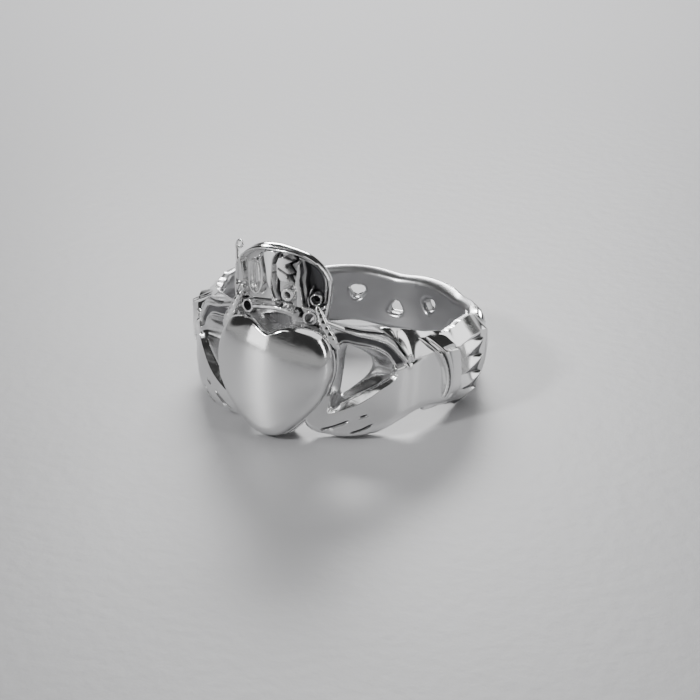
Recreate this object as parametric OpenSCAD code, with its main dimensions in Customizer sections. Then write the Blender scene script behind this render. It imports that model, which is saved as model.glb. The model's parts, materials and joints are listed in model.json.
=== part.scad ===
// Claddagh ring, one silver casting: two cuffed hands hold a domed heart under an arched crown,
// and a pierced plait of three strands closes the band at the back.
// The ring lies on its side. Its finger hole's axis leans back a little, because the heart's side
// of the band is taller than the back, so that the hands and the plait rest on one plane.
// Places on the ring are given as an arc along the face, or as an angle from the heart's middle,
// and a height above the heart's tip.

/* [Finger hole] */
// Inside diameter
bore_d = 19; // [17:0.25:21]
// Length of the straight part of the hole
bore_l = 4; // [3:0.25:4.5]
// Extra radius where the hole opens out above and below
bore_ease = 0.25; // [0.1:0.05:0.4]

/* [Band] */
// Thickness of the band under the hands
front_t = 2.1; // [1.8:0.1:2.5]
// Height of the band's middle above the heart's tip
mid_z = 4.7; // [4.4:0.1:5]
// Thickness left at the band's rounded edges
edge_t = 0.9; // [0.7:0.05:1.2]

/* [Cuffs] */
// Height of the cuff at its tallest pleat
cuff_h = 6.8; // [6.2:0.1:7.2]
// Thickness of the cuff
cuff_t = 2.3; // [2:0.1:2.7]
// Angle of the cuff's front edge at mid height
cuff_a = 68; // [66:1:70]
// How far the front edge bows back at mid height, in degrees
cuff_bow = 7; // [4:0.5:9]
// Angle where the pleats start
pleat_a = 75; // [73:0.5:77]
// Angle where the pleats end
pleat_end_a = 94; // [90:1:98]
// Depth of a pleat
pleat_d = 0.5; // [0.3:0.05:0.6]
// Pleats on one cuff
pleat_n = 4; // [3:1:5]

/* [Plait] */
// Height of the band at the back
back_h = 5; // [4.6:0.1:5.4]
// Thickness of the plait over its highest strand
back_t = 1.7; // [1.5:0.05:2]
// Angle where the plait starts
plait_a = 108; // [104:1:112]
// Width of a strand
strand_w = 1.5; // [1.3:0.05:1.7]
// Height of a strand above the floor between strands
strand_h = 0.55; // [0.4:0.05:0.7]
// Angle between neighbouring eyes
eye_step = 20; // [18:1:22]
// Diameter of an eye
eye_d = 1.3; // [0.9:0.05:1.5]

/* [Heart] */
// Width of the heart along the face
heart_w = 9.5; // [9:0.1:10]
// Height of the heart
heart_h = 9; // [8.6:0.1:9.4]
// Thickness of the heart's edge
heart_t = 2.3; // [2.1:0.05:2.6]
// Rise of the dome above the edge
dome_h = 1.5; // [1:0.1:2]
// Height of the line along the heart's edge
heart_rim_h = 0.12; // [0.05:0.01:0.2]

/* [Hands] */
// Arc from the heart's middle to the end of the wrist
hand_l = 15; // [14.4:0.1:15.4]
// Height of the hands' lowest edge above the heart's tip
hand_z = 0.15; // [0.1:0.05:0.3]
// Depth of the palm's lip below the face
lip_d = 0.45; // [0.3:0.05:0.6]
// Height of the ridge along the first finger
ridge_h = 0.1; // [0:0.05:0.2]
// Diameter of a thumb
thumb_d = 0.9; // [0.7:0.05:1.1]

/* [Crown] */
// Width of the crown along the face
crown_w = 8.4; // [8:0.1:8.8]
// Height of the crown's base above the heart's tip
crown_z = 8.9; // [8.7:0.1:9.2]
// How far the plate behind the cleft reaches down from the crown's base
root_h = 1.9; // [1.6:0.1:2.1]
// Thickness of the plate behind the cleft
root_t = 1.1; // [0.9:0.1:1.3]
// Height of the crown's shoulders above its base
shoulder_h = 3.5; // [3.1:0.1:3.9]
// Height of the arch above the shoulders
arch_h = 2.1; // [1.8:0.05:2.5]
// Thickness of the crown over its pillars
crown_t = 1.8; // [1.6:0.1:2.1]
// Depth of the panels between the pillars
panel_d = 0.45; // [0.3:0.05:0.6]
// Height of the rim over the pillars
crown_rim_h = 0.3; // [0.2:0.05:0.45]
// Share of the half width taken by the rim
rim_share = 0.15; // [0.1:0.01:0.2]
// Diameter of the two bosses
boss_d = 1.1; // [0.8:0.1:1.3]
// Diameter of the pierced holes under the crown
pierce_d = 0.75; // [0.5:0.05:0.9]
// Diameter of the curl at the crown's left corner
curl_d = 0.6; // [0.5:0.05:0.8]

/* [Hidden] */
bore_r = bore_d / 2;
face_r = bore_r + front_t;
edge_r = bore_r + edge_t;
cuff_r = bore_r + cuff_t;
back_r = bore_r + back_t;
heart_r = bore_r + heart_t;
crown_r = bore_r + crown_t;
// Radius inside the hole, where every skin closes before the hole is cut
core_gap = 0.6;
core_r = bore_r - core_gap;
silver = "#c9ccd0";

// Corners shared by the curve and loft functions
curve_n = 3;
heart_turns = 4;
heart_shares = [1, 0.97, 0.93, 0.87, 0.74, 0.56, 0.36, 0.16];

function deg_of(s) = s / face_r * 180 / PI;
function at(a, r, z) = [r * sin(a), -r * cos(a), z];
function mix(a, b, t) = a + (b - a) * t;
function clamp01(t) = min(1, max(0, t));
function smooth(t) = let (c = clamp01(t)) c * c * (3 - 2 * c);
function bump(x, w) = exp(-pow(x / w, 2));

// Smooth curves through a short table of points
function through(p0, p1, p2, p3, t) = 0.5 * (2 * p1 + (p2 - p0) * t
    + (2 * p0 - 5 * p1 + 4 * p2 - p3) * t * t + (3 * p1 - p0 - 3 * p2 + p3) * t * t * t);
function closed_curve(p, n) = let (m = len(p)) [for (i = [0 : m - 1], k = [0 : n - 1])
    through(p[(i + m - 1) % m], p[i], p[(i + 1) % m], p[(i + 2) % m], k / n)];
function open_curve(p, n) = let (m = len(p) - 1) [for (i = [0 : m - 1], k = [0 : n - 1])
    through(p[max(i - 1, 0)], p[i], p[i + 1], p[min(i + 2, m)], k / n)];

// Triangles between loops of m points: each loop joins the next, and the last may join the first
function wall(n, m, ring) = [for (i = [0 : n - (ring ? 1 : 2)], j = [0 : m - 1])
    let (near = i * m, far = (i + 1) % n * m, next = (j + 1) % m)
    each [[near + j, near + next, far + next], [near + j, far + next, far + j]]];
function fan(first, m, centre, flip) = [for (j = [0 : m - 1])
    flip ? [first + (j + 1) % m, first + j, centre] : [first + j, first + (j + 1) % m, centre]];
function turned(faces) = [for (f = faces) [f[2], f[1], f[0]]];

// Band from cuff to cuff round the back
// Height of its edges. Columns: angle, share of the way from back_h to cuff_h
EDGE = [[55, 0.85], [66, 0.62], [74, 0.5], [79, 0.7], [85, 1], [93, 1], [101, 0.55], [107, 0.1],
    [112, 0], [180, 0]];
function look(table, x) = let (k = max([for (i = [0 : len(table) - 2]) table[i][0] <= x ? i : 0]),
    from = table[k], to = table[k + 1]) mix(from[1], to[1], smooth((x - from[0]) / (to[0] - from[0])));
function half_h(a) = mix(back_h, cuff_h, look(EDGE, a)) / 2;

// The plait's strands swing between the edges, a third of a turn apart, and meet at each sixth of a turn
strand_phases = [30, 150, 270];
// Share of its height by which a strand dips under the next one
weave_dip = 0.3;
// Share of the swing by which the band's edges follow the strands, and the angle that it takes to start
wave_share = 0.8;
wave_fade = 8;
// Angle over which pleats or strands fade in
relief_fade = 4;
function plait_turn(a) = (a - 180) * 60 / eye_step;
function plait_swing() = (back_h - strand_w) / 2;
function strand_z(a, p) = plait_swing() * sin(plait_turn(a) + p);
function strand_over(a, p) = sin(2 * (plait_turn(a) + p));
function strand_top(a, z, p) = let (d = abs(z - strand_z(a, p)) / (strand_w / 2))
    d < 1 ? strand_h * (sqrt(1 - d * d) + weave_dip * (strand_over(a, p) - 1)) : 0;
function plait_top(a, z) = max([for (p = strand_phases) strand_top(a, z, p)]);
function plait_wave(a, side) = let (top = max([for (p = strand_phases) side * sin(plait_turn(a) + p)]))
    (top - 1) * plait_swing() * smooth((a - plait_a) / wave_fade) * wave_share;

// Pleats: in each cell a ridge runs from the lower front corner to the upper back corner
// Share of the cuff's height that they fill, and share of their depth by which their floor is sunk
pleat_field = 0.78;
pleat_sink = 0.6;
pleat_fade = 0.05;
function pleat(a, v) = let (x = (a - pleat_a) / (pleat_end_a - pleat_a),
    cells = (v / pleat_field + 1) / 2 * pleat_n, b = cells - floor(cells))
    x <= 0 || x >= 1 || cells <= 0 || cells >= pleat_n ? 0
    : pleat_d * (b > x ? (1 - b) / (1 - x) : b / x) * smooth(min(x, 1 - x) / pleat_fade);

floor_r = cuff_r - pleat_d * pleat_sink;
function band_top(a) = a < pleat_a ? cuff_r : a < pleat_end_a ? floor_r
    : mix(floor_r, back_r - strand_h, smooth((a - pleat_end_a) / (plait_a - pleat_end_a)));
function relief(a, v, z) = let (start = plait_a - relief_fade)
    a < start ? pleat(a, v) : plait_top(a, z) * smooth((a - start) / (1.5 * relief_fade));
// The higher the power, the later the face rounds off towards its edges
round_power = 2.5;
function band_face(a, v, z) = mix(band_top(a) + relief(a, v, z), edge_r, pow(abs(v), round_power));

// One loop round the band's wall; front is 1 at the cuff's bowed and slanted front edge
face_n = 13;
cuff_slant = 3;
function face_shares() = [for (j = [0 : face_n]) 2 * j / face_n - 1];
function band_loop(side, a, front) = let (
    up = half_h(a) + plait_wave(a, 1), down = half_h(a) + plait_wave(a, -1),
    place = function (v) side * (a - front * (cuff_bow * v * v + cuff_slant * v)))
    concat([at(place(-1), core_r, mid_z - down)],
        [for (v = face_shares()) let (z = v * (v > 0 ? up : down))
            at(place(v), band_face(a, v, z), mid_z + z)],
        [at(place(1), core_r, mid_z + up)]);

// Angles of the loops: the cuff's plain strip, its pleats, the gap behind them and the plait
strip_steps = [0, 0.12, 0.5];
pleat_steps = 10;
gap_steps = 5;
plait_steps = 32;
band_angles = concat([for (k = strip_steps) mix(cuff_a, pleat_a, k)],
    [for (k = [0 : pleat_steps]) mix(pleat_a, pleat_end_a, k / pleat_steps)],
    [for (k = [1 : gap_steps]) mix(pleat_end_a, plait_a, k / gap_steps)],
    [for (k = [1 : plait_steps]) mix(plait_a, 180, k / plait_steps)]);

module band() {
    m = face_n + 3;
    last = len(band_angles) - 1;
    turn = function (side, i) band_loop(side, band_angles[i], clamp01(1 - i / len(strip_steps)));
    loops = concat([for (i = [0 : last]) turn(1, i)], [for (i = [1 : last]) turn(-1, last - i)]);
    n = len(loops);
    ends = [for (l = [loops[0], loops[n - 1]]) [for (j = [1 : m]) 1 / m] * l];
    skin = concat([for (l = loops) each l], ends);
    polyhedron(skin, concat(wall(n, m, false), fan(0, m, n * m, true),
        fan((n - 1) * m, m, n * m + 1, false)));
}

// Heart: half outline from tip to cleft, as shares of the half width and the height
HEART = [[0, 0], [0.2, 0.022], [0.42, 0.11], [0.8, 0.34], [0.96, 0.53], [1, 0.68], [0.95, 0.83],
    [0.82, 0.94], [0.62, 1], [0.38, 0.98], [0.17, 0.91], [0, 0.84]];
heart_mid = 0.5;
// Half axes of the dome's egg, as shares of the heart's width and height
egg_w = 0.66;
egg_h = 0.62;

function heart_half(side) = [for (p = open_curve(HEART, heart_turns))
    [side * p[0] * heart_w / 2, p[1] * heart_h]];
function heart_outline() = let (right = heart_half(1), left = heart_half(-1), n = len(left))
    concat(right, [[0, HEART[len(HEART) - 1][1] * heart_h]], [for (i = [1 : n - 1]) left[n - i]]);
// The dome is part of an egg that reaches past the outline, rolled off at the edge; q is the share of the
// way from the middle to the outline
line_share = 0.94;
function dome(s, z, q) = let (x = s / (egg_w * heart_w), y = (z / heart_h - heart_mid) / egg_h,
    egg = sqrt(max(0, 1 - x * x - y * y)), roll_off = sqrt(1 - pow(q, 10)))
    heart_r + dome_h * egg * roll_off + (q > line_share ? heart_rim_h : 0);

module heart() {
    outline = heart_outline();
    m = len(outline);
    centre = [0, heart_mid * heart_h];
    ring_at = function (q, r) [for (p = outline) let (c = mix(centre, p, q))
        at(deg_of(c[0]), is_undef(r) ? dome(c[0], c[1], q) : r, c[1])];
    loops = concat([ring_at(1, core_r)], [for (q = heart_shares) ring_at(q, undef)]);
    n = len(loops);
    ends = [at(0, core_r, centre[1]), at(0, dome(0, centre[1], 0), centre[1])];
    skin = concat([for (l = loops) each l], ends);
    faces = concat(wall(n, m, false), fan(0, m, n * m, true), fan((n - 1) * m, m, n * m + 1, false));
    polyhedron(skin, turned(faces));
}

// Hand: stations round the palm's opening, as shares of hand_l along the face and of the way up from
// hand_z to heart_h
// Columns: lip arc, lip height, inner arc, inner height, outer arc, outer height
HAND = [
    [0.327, 0.833, 0.327, 0.789, 0.227, 1.000],
    [0.420, 0.828, 0.407, 0.778, 0.387, 0.972],
    [0.493, 0.800, 0.473, 0.744, 0.520, 0.972],
    [0.553, 0.756, 0.513, 0.700, 0.667, 0.950],
    [0.600, 0.700, 0.533, 0.656, 0.820, 0.895],
    [0.617, 0.639, 0.540, 0.611, 1.000, 0.817],
    [0.613, 0.611, 0.533, 0.589, 1.000, 0.622],
    [0.603, 0.578, 0.520, 0.556, 1.000, 0.433],
    [0.567, 0.522, 0.493, 0.517, 1.000, 0.228],
    [0.527, 0.478, 0.467, 0.483, 0.813, 0.212],
    [0.487, 0.433, 0.433, 0.444, 0.680, 0.122],
    [0.447, 0.389, 0.400, 0.411, 0.573, 0.039],
    [0.407, 0.344, 0.373, 0.378, 0.440, 0.000],
    [0.353, 0.289, 0.340, 0.344, 0.320, 0.006],
    [0.307, 0.256, 0.320, 0.356, 0.200, 0.050],
    [0.300, 0.378, 0.313, 0.444, 0.160, 0.180],
    [0.300, 0.556, 0.313, 0.578, 0.160, 0.510],
    [0.307, 0.733, 0.317, 0.711, 0.173, 0.850]];
function hand_point(row, k) = [row[k] * hand_l, hand_z + row[k + 1] * (heart_h - hand_z)];
// Skin from lip to outer edge: share of the way, height against the face
HAND_SKIN = [[0, -1], [0.15, -0.5], [0.4, 0], [0.62, 1], [0.78, -1], [0.92, -2]];
function hand_rise(h) = h > 0 ? h * ridge_h : h * lip_d;

module hand() {
    rows = closed_curve(HAND, curve_n);
    m = len(rows);
    loop = function (k, t, r) [for (row = rows)
        let (p = mix(hand_point(row, k), hand_point(row, 4), t)) at(deg_of(p[0]), r, p[1])];
    loops = concat([loop(2, 0, core_r), loop(2, 0, bore_r + edge_t / 2)],
        [for (s = HAND_SKIN) loop(0, s[0], face_r + hand_rise(s[1]))],
        [loop(4, 0, edge_r), loop(4, 0, core_r)]);
    polyhedron([for (l = loops) each l], turned(wall(len(loops), m, true)));
}

// Thumb: from the crown's foot down the heart's shoulder
// Columns: share of hand_l along the face, share of heart_h in height
THUMB = [[0.25, 1.045], [0.327, 0.85]];

module thumb() {
    hull()
        for (p = THUMB)
            rotate([0, 0, deg_of(p[0] * hand_l)])
                translate([0, -face_r, p[1] * heart_h])
                    sphere(d = thumb_d, $fn = 12);
}

// Crown: a plate that follows the band's curve, with rim, pillars and sunk panels
// Places on it are c, from -1 at its left edge to 1 at its right, and t, from 0 at its base to 1 at its top
crown_cols = 28;
crown_rows = 14;
// Share of the crown's width that its foot has, and share of its height where the full width starts
foot_share = 0.92;
waist_share = 0.6;
// Height of the plain step along the base, and its rise as a share of the rim's
step_share = 0.2;
step_rise = 0.4;
// Outermost share of the rim, and how far it is bevelled off
bevel_share = 0.985;
bevel_d = 0.7;
// Columns: place of a pillar across half the crown, its half width
PILLARS = [[0, 0.11], [0.46, 0.07]];
function crown_top_z(c) = crown_z + shoulder_h + arch_h * pow(max(0, 1 - pow(abs(c), 3)), 0.8);
function crown_half(t) = crown_w / 2 * mix(foot_share, 1, smooth(t / waist_share));
function crown_relief(c, t) = let (x = abs(c), pillar = max([for (p = PILLARS) bump(x - p[0], p[1])]))
    max(x, t) > 1 - rim_share ? crown_rim_h : t < step_share ? crown_rim_h * step_rise
    : -panel_d * (1 - pillar);
function crown_face(c, t) = let (bevel = max(abs(c), t) > bevel_share ? crown_rim_h * bevel_d : 0)
    crown_r + crown_relief(c, t) - bevel;
function crown_at(c, t, r) = let (z = mix(crown_z, crown_top_z(c), t)) at(deg_of(c * crown_half(t)), r, z);

module crown() {
    rows = crown_rows + 2;
    w = crown_cols + 1;
    h = rows + 1;
    root = -root_h / (shoulder_h + arch_h);
    // The two lowest rows are the root's, the second of them just below the crown's first
    share = function (j) j == 0 ? root : j == 1 ? -0.01 : (j - 2) / crown_rows;
    front = function (c, j) j < 2 ? bore_r + root_t : crown_face(c, share(j));
    grid = function (r) [for (j = [0 : rows], i = [0 : crown_cols]) let (c = 2 * i / crown_cols - 1)
        crown_at(c, share(j), is_undef(r) ? front(c, j) : r)];
    cells = [for (j = [0 : rows - 1], i = [0 : crown_cols - 1]) let (a = j * w + i)
        [a, a + 1, a + w + 1, a + w]];
    rim = concat([for (i = [0 : crown_cols - 1]) i], [for (j = [0 : rows - 1]) j * w + w - 1],
        [for (i = [0 : crown_cols - 1]) h * w - 1 - i], [for (j = [0 : rows - 1]) (h - 1 - j) * w]);
    back = w * h;
    count = len(rim);
    front_faces = [for (q = cells) each [[q[0], q[1], q[2]], [q[0], q[2], q[3]]]];
    back_faces = [for (f = front_faces) [for (i = f) i + back]];
    rim_faces = [for (k = [0 : count - 1]) let (a = rim[k], b = rim[(k + 1) % count])
        each [[a, b, b + back], [a, b + back, a + back]]];
    polyhedron(concat(grid(undef), grid(core_r + core_gap / 6)),
        concat(turned(front_faces), back_faces, rim_faces));
}

// Places of the bosses, the curl's two coils and the pierced holes, as c and t on the crown
BOSS = [0.25, 0.34];
CURL = [[-0.86, 0.96], [-0.86, 1.05]];
PIERCED = [0.66, 0.1];

module bead_at(place, r, d) {
    rotate([0, 0, deg_of(place[0] * crown_half(place[1]))])
        translate([0, -r, mix(crown_z, crown_top_z(place[0]), place[1])])
            sphere(d = d, $fn = 24);
}

// Lean that brings the hands' lower edges and the plait's lower edge onto one plane
wide_r = bore_r + bore_ease;
hand_low_a = deg_of(HAND[12][4] * hand_l);
lean = atan((mid_z - back_h / 2 - hand_z) / (edge_r + wide_r * cos(hand_low_a)));

// The hole is straight about the band's middle and widens in short cones above and below
cone_l = 0.8;
past = 2;
crown_top = crown_z + shoulder_h + arch_h;

module finger_hole() {
    low = mid_z - bore_l / 2;
    high = mid_z + bore_l / 2;
    rotate_extrude($fn = 96)
        polygon([[0, -past], [wide_r, -past], [wide_r, low - cone_l], [bore_r, low], [bore_r, high],
            [wide_r, high + cone_l], [wide_r, crown_top + past], [0, crown_top + past]]);
}

module radial_hole(a, z, d) {
    rotate([0, 0, a])
        translate([0, 0, z])
            rotate([90, 0, 0])
                cylinder(h = crown_r + past, d = d, $fn = 32);
}

// Eyes lie where two strands part, by turns above and below the middle
eye_share = 0.3;
module eyes() {
    count = floor((180 - plait_a - eye_step / 4) / eye_step);
    off_mid = plait_swing() * eye_share;
    for (k = [-count : count])
        radial_hole(180 + k * eye_step, mid_z + (abs(k) % 2 == 1 ? off_mid : -off_mid), eye_d);
}

module pierced_holes() {
    a = deg_of(PIERCED[0] * crown_w / 2);
    for (side = [-1, 1])
        radial_hole(side * a, crown_z + PIERCED[1] * (shoulder_h + arch_h), pierce_d);
}

module ring() {
    color(silver)
        rotate([-lean, 0, 0])
            translate([0, 0, -mid_z])
                difference() {
                    union() {
                        band();
                        for (side = [0, 1])
                            mirror([side, 0, 0]) {
                                hand();
                                thumb();
                                bead_at(BOSS, crown_r - panel_d * 0.5, boss_d);
                            }
                        heart();
                        crown();
                        for (place = CURL)
                            bead_at(place, crown_r, curl_d);
                    }
                    finger_hole();
                    eyes();
                    pierced_holes();
                }
}

ring();
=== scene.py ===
"""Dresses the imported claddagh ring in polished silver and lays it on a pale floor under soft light."""

import json
import math

import bmesh
import bpy
import numpy as np
from bpy.props import FloatProperty, FloatVectorProperty, IntProperty, PointerProperty
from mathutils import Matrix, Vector


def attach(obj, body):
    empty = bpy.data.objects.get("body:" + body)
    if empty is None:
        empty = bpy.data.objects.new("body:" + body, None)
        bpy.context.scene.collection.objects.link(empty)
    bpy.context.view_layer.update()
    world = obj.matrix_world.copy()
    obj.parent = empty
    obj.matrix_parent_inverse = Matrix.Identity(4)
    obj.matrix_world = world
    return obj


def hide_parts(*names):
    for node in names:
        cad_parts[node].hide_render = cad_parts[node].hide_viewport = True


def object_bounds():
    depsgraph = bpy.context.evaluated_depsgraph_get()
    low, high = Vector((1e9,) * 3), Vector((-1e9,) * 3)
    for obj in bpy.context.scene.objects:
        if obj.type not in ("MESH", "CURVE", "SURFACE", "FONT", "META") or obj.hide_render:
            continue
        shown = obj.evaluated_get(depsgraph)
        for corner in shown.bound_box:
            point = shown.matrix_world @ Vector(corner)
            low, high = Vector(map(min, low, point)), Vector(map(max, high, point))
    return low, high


bl_info = {
    "name": "Claddagh Ring Dresser",
    "version": (1, 0, 0),
    "blender": (4, 5, 0),
    "location": "3D View > Sidebar > Ring",
    "description": "Builds the polished skins of a claddagh ring round its packed solid",
    "category": "Object",
}

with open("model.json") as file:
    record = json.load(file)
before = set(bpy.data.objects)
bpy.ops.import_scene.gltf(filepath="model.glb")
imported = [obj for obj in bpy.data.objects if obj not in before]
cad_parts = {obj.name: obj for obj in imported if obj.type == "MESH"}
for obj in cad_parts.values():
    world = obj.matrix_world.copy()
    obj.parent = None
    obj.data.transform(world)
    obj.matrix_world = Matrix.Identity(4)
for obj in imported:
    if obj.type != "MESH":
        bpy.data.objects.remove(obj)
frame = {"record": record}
SOLID_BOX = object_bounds()
HOLE = next(m for m in frame["record"]["mounts"] if m["name"] == "finger_hole")
LEAN = math.atan2(HOLE["axis"][1], HOLE["axis"][2])
NODE = "ring"
BODY = "root"
METAL = "worn_cast_silver"
MM = 0.001


# Settings that a user may change


def length_setting(name, description, millimetres):
    return FloatProperty(name=name, description=description, default=millimetres * MM, unit="LENGTH")


def angle_setting(name, description, radians):
    return FloatProperty(name=name, description=description, default=radians, subtype="ANGLE")


def factor_setting(name, description, share):
    return FloatProperty(name=name, description=description, default=share, subtype="FACTOR")


def colour_setting(name, description, colour):
    return FloatVectorProperty(name=name, description=description, default=colour, subtype="COLOR")


def count_setting(name, description, count, least, most):
    return IntProperty(name=name, description=description, default=count, min=least, max=most)


class RingSizes(bpy.types.PropertyGroup):
    """Sizes that all pieces share."""

    bore: length_setting("Bore", "Radius of the finger hole", HOLE["dims"]["r_mm"])
    straight: length_setting(
        "Straight length", "Length of the hole's straight part", HOLE["dims"]["length_mm"]
    )
    ease: length_setting("Ease", "Extra radius of the hole's mouths", 0.25)
    lean: angle_setting("Lean", "How far the hole's axis leans back as the ring rests", LEAN)
    middle: length_setting("Middle", "Height of the band's middle above the heart's tip", 4.7)
    face: length_setting("Face", "Thickness of the band under the hands", 2.1)
    edge: length_setting("Edge", "Thickness left at the band's rounded edges", 0.9)


class HeartSizes(bpy.types.PropertyGroup):
    """Sizes of the heart."""

    width: length_setting("Width", "Width along the face", 9.5)
    height: length_setting("Height", "Height of the heart", 9)
    thick: length_setting("Thickness", "Thickness at the heart's edge", 2.3)
    dome: length_setting("Dome", "Rise of the dome above the edge", 1.5)


class HandSizes(bpy.types.PropertyGroup):
    """Sizes of the hands."""

    length: length_setting("Length", "Arc from the heart's middle to the end of the wrist", 15)
    low: length_setting("Lowest edge", "Height of the lowest edge above the heart's tip", 0.15)
    lip: length_setting("Lip", "Depth of the palm's lip below the face", 0.45)
    groove: length_setting("Groove", "Depth of the grooves between the fingers", 0.13)


class CuffSizes(bpy.types.PropertyGroup):
    """Sizes of the pleated cuffs."""

    height: length_setting("Height", "Height at the tallest pleat", 6.8)
    thick: length_setting("Thickness", "Thickness of the cuff", 2.3)
    pleat: length_setting("Pleat depth", "Depth of a pleat", 0.42)
    pleats: count_setting("Pleats", "Pleats on one cuff", 4, 3, 5)


class PlaitSizes(bpy.types.PropertyGroup):
    """Sizes of the plait at the back."""

    height: length_setting("Height", "Height of the band at the back", 5)
    thick: length_setting("Thickness", "Thickness over the highest strand", 1.7)
    strand: length_setting("Strand width", "Width of a strand", 1.5)
    rise: length_setting("Strand rise", "Height of a strand above the floor", 0.55)
    strands: count_setting("Strands", "Strands of the plait", 3, 3, 3)
    eye: length_setting("Eye", "Diameter of an eye at its narrowest", 1.25)
    funnel: length_setting("Funnel", "Radius of an eye's rounded inner rim", 0.45)


class CrownSizes(bpy.types.PropertyGroup):
    """Sizes of the crown."""

    width: length_setting("Width", "Width along the face", 8.4)
    base: length_setting("Base", "Height of the crown's base above the heart's tip", 8.9)
    shoulder: length_setting("Shoulder", "Height of the shoulders above the base", 3.5)
    arch: length_setting("Arch", "Height of the arch above the shoulders", 2.1)
    thick: length_setting("Thickness", "Thickness over the pillars", 1.8)
    panel: length_setting("Panel", "Depth of the panels between the pillars", 0.45)
    root: length_setting("Root", "Reach of the plate behind the heart's cleft", 1.9)
    root_thick: length_setting("Root thickness", "Thickness of the plate behind the cleft", 1.1)
    pierced: length_setting("Pierced hole", "Diameter of the pierced holes at the foot", 0.75)


class SilverLook(bpy.types.PropertyGroup):
    """Finish of the silver."""

    colour: colour_setting("Silver", "Colour of the clean metal", (0.9, 0.9, 0.9))
    # Tarnish and painted shade: this near-black colour darkens grooves and cut lines like tarnish, and
    # paints shade into hollows, dark bands and shaded facets
    tarnish_and_shade: colour_setting("Tarnish", "Colour of the dulled metal in the recesses", (0.05, 0.05, 0.054))
    # Painted shade: the satin inside is coloured darker than the clean silver so that the ring's inside
    # looks shaded
    inner: colour_setting("Inner silver", "Colour of the satin inside", (0.46, 0.46, 0.47))
    polish: factor_setting("Polish", "Roughness of the polished face", 0.07)
    satin: factor_setting("Satin", "Roughness of the worn inside", 0.27)


class StageLook(bpy.types.PropertyGroup):
    """Floor, light and camera."""

    floor: colour_setting("Floor", "Colour of the floor", (0.47, 0.47, 0.48))
    distance: length_setting("Camera distance", "From the middle of the heart's foot", 165.5)
    azimuth: angle_setting("Azimuth", "Camera's turn to the right", math.radians(27.21))
    elevation: angle_setting("Elevation", "Camera's height angle", math.radians(26.1))


GROUPS = {
    "ring_sizes": RingSizes,
    "heart_sizes": HeartSizes,
    "hand_sizes": HandSizes,
    "cuff_sizes": CuffSizes,
    "plait_sizes": PlaitSizes,
    "crown_sizes": CrownSizes,
    "silver_look": SilverLook,
    "stage_look": StageLook,
}


class Millimetres:
    """Reads a group's lengths in millimetres, and its counts and angles as they are."""

    def __init__(self, name):
        self._name = name

    def __getattr__(self, name):
        group = getattr(bpy.context.scene, self._name)
        value = getattr(group, name)
        return value / MM if group.bl_rna.properties[name].unit == "LENGTH" else value


ring_mm, heart_mm, hand_mm, cuff_mm, plait_mm, crown_mm = (
    Millimetres(name) for name in GROUPS if name.endswith("_sizes")
)


# Curves, eased steps and rounded edges


def smooth(t):
    c = np.clip(t, 0, 1)
    return c * c * (3 - 2 * c)


def mix(a, b, t):
    return a + (b - a) * t


def shares(count):
    """This many shares of a way, evenly from 0 to 1."""
    return np.linspace(0, 1, count)


def crowded(count):
    """Shares of a way that lie closer together at both its ends."""
    return (1 - np.cos(math.pi * shares(count))) / 2


def bump(x, w):
    return np.exp(-((x / w) ** 2))


def fillet(d, radius):
    """How far an edge rounded to this radius falls away at a distance d from it."""
    x = radius - np.clip(d, 0, radius)
    return radius - np.sqrt(radius**2 - x**2)


def half_round(d, half_width=1):
    """Section of a half-round line, 1 at its middle and 0 from its half width on."""
    return np.sqrt(np.clip(1 - (d / half_width) ** 2, 0, 1))


def cord(d, half_width):
    """A raised or cut line's section, 1 along its middle and eased to 0 at its half width."""
    return smooth(1.3 * (1 - d / half_width))


def look(table, x):
    """Value of a table of (place, value) rows at x, eased between the rows."""
    rows = np.array(table, float)
    k = np.clip(np.searchsorted(rows[:, 0], x, "right") - 1, 0, len(rows) - 2)
    t = (x - rows[k, 0]) / (rows[k + 1, 0] - rows[k, 0])
    return mix(rows[k, 1], rows[k + 1, 1], smooth(t))


def curve(points, steps, closed=False):
    """A smooth curve through points, with this many steps from each to the next."""
    p = np.asarray(points, float)
    if closed:
        before, start, end, after = (np.roll(p, k, 0) for k in (1, 0, -1, -2))
    else:
        start, end = p[:-1], p[1:]
        before, after = np.vstack([p[:1], p[:-2]]), np.vstack([p[2:], p[-1:]])
    t = (np.arange(steps) / steps)[None, :, None]
    before, start, end, after = (q[:, None, :] for q in (before, start, end, after))
    bend = (2 * before - 5 * start + 4 * end - after) * t**2 + (3 * start - before - 3 * end + after) * t**3
    out = (start + ((end - before) * t + bend) / 2).reshape(-1, p.shape[1])
    return out if closed else np.vstack([out, p[-1:]])


def distance(s, z, line):
    """Shortest distance from each place on the face to a line of places."""
    best = np.full(np.broadcast(s, z).shape, np.inf)
    for (s0, z0), (s1, z1) in zip(line[:-1], line[1:]):
        ds, dz = s1 - s0, z1 - z0
        t = np.clip(((s - s0) * ds + (z - z0) * dz) / (ds * ds + dz * dz), 0, 1)
        best = np.minimum(best, np.hypot(s - s0 - t * ds, z - z0 - t * dz))
    return best


# Places on the ring: an angle from the heart's middle, a radius, and a height above the heart's tip

# Length over which the finger hole's mouths flare out
FLARE = 0.8


def place(angle, radius, height):
    """Those places in the row frame, in metres."""
    a = np.radians(angle)
    x, y, z = np.broadcast_arrays(radius * np.sin(a), -radius * np.cos(a), height - ring_mm.middle)
    c, s = math.cos(ring_mm.lean), math.sin(ring_mm.lean)
    return np.stack([x, y * c + z * s, z * c - y * s], -1) * MM


def face_radius():
    return ring_mm.bore + ring_mm.face


def arc(angle):
    """Length along the face to an angle."""
    return np.radians(angle) * face_radius()


def angle_of(s):
    return np.degrees(s / face_radius())


def on_face(rows):
    """Rows of (angle, height) as places on the face in millimetres."""
    rows = np.array(rows, float)
    return np.stack([arc(rows[:, 0]), rows[:, 1]], 1)


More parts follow.
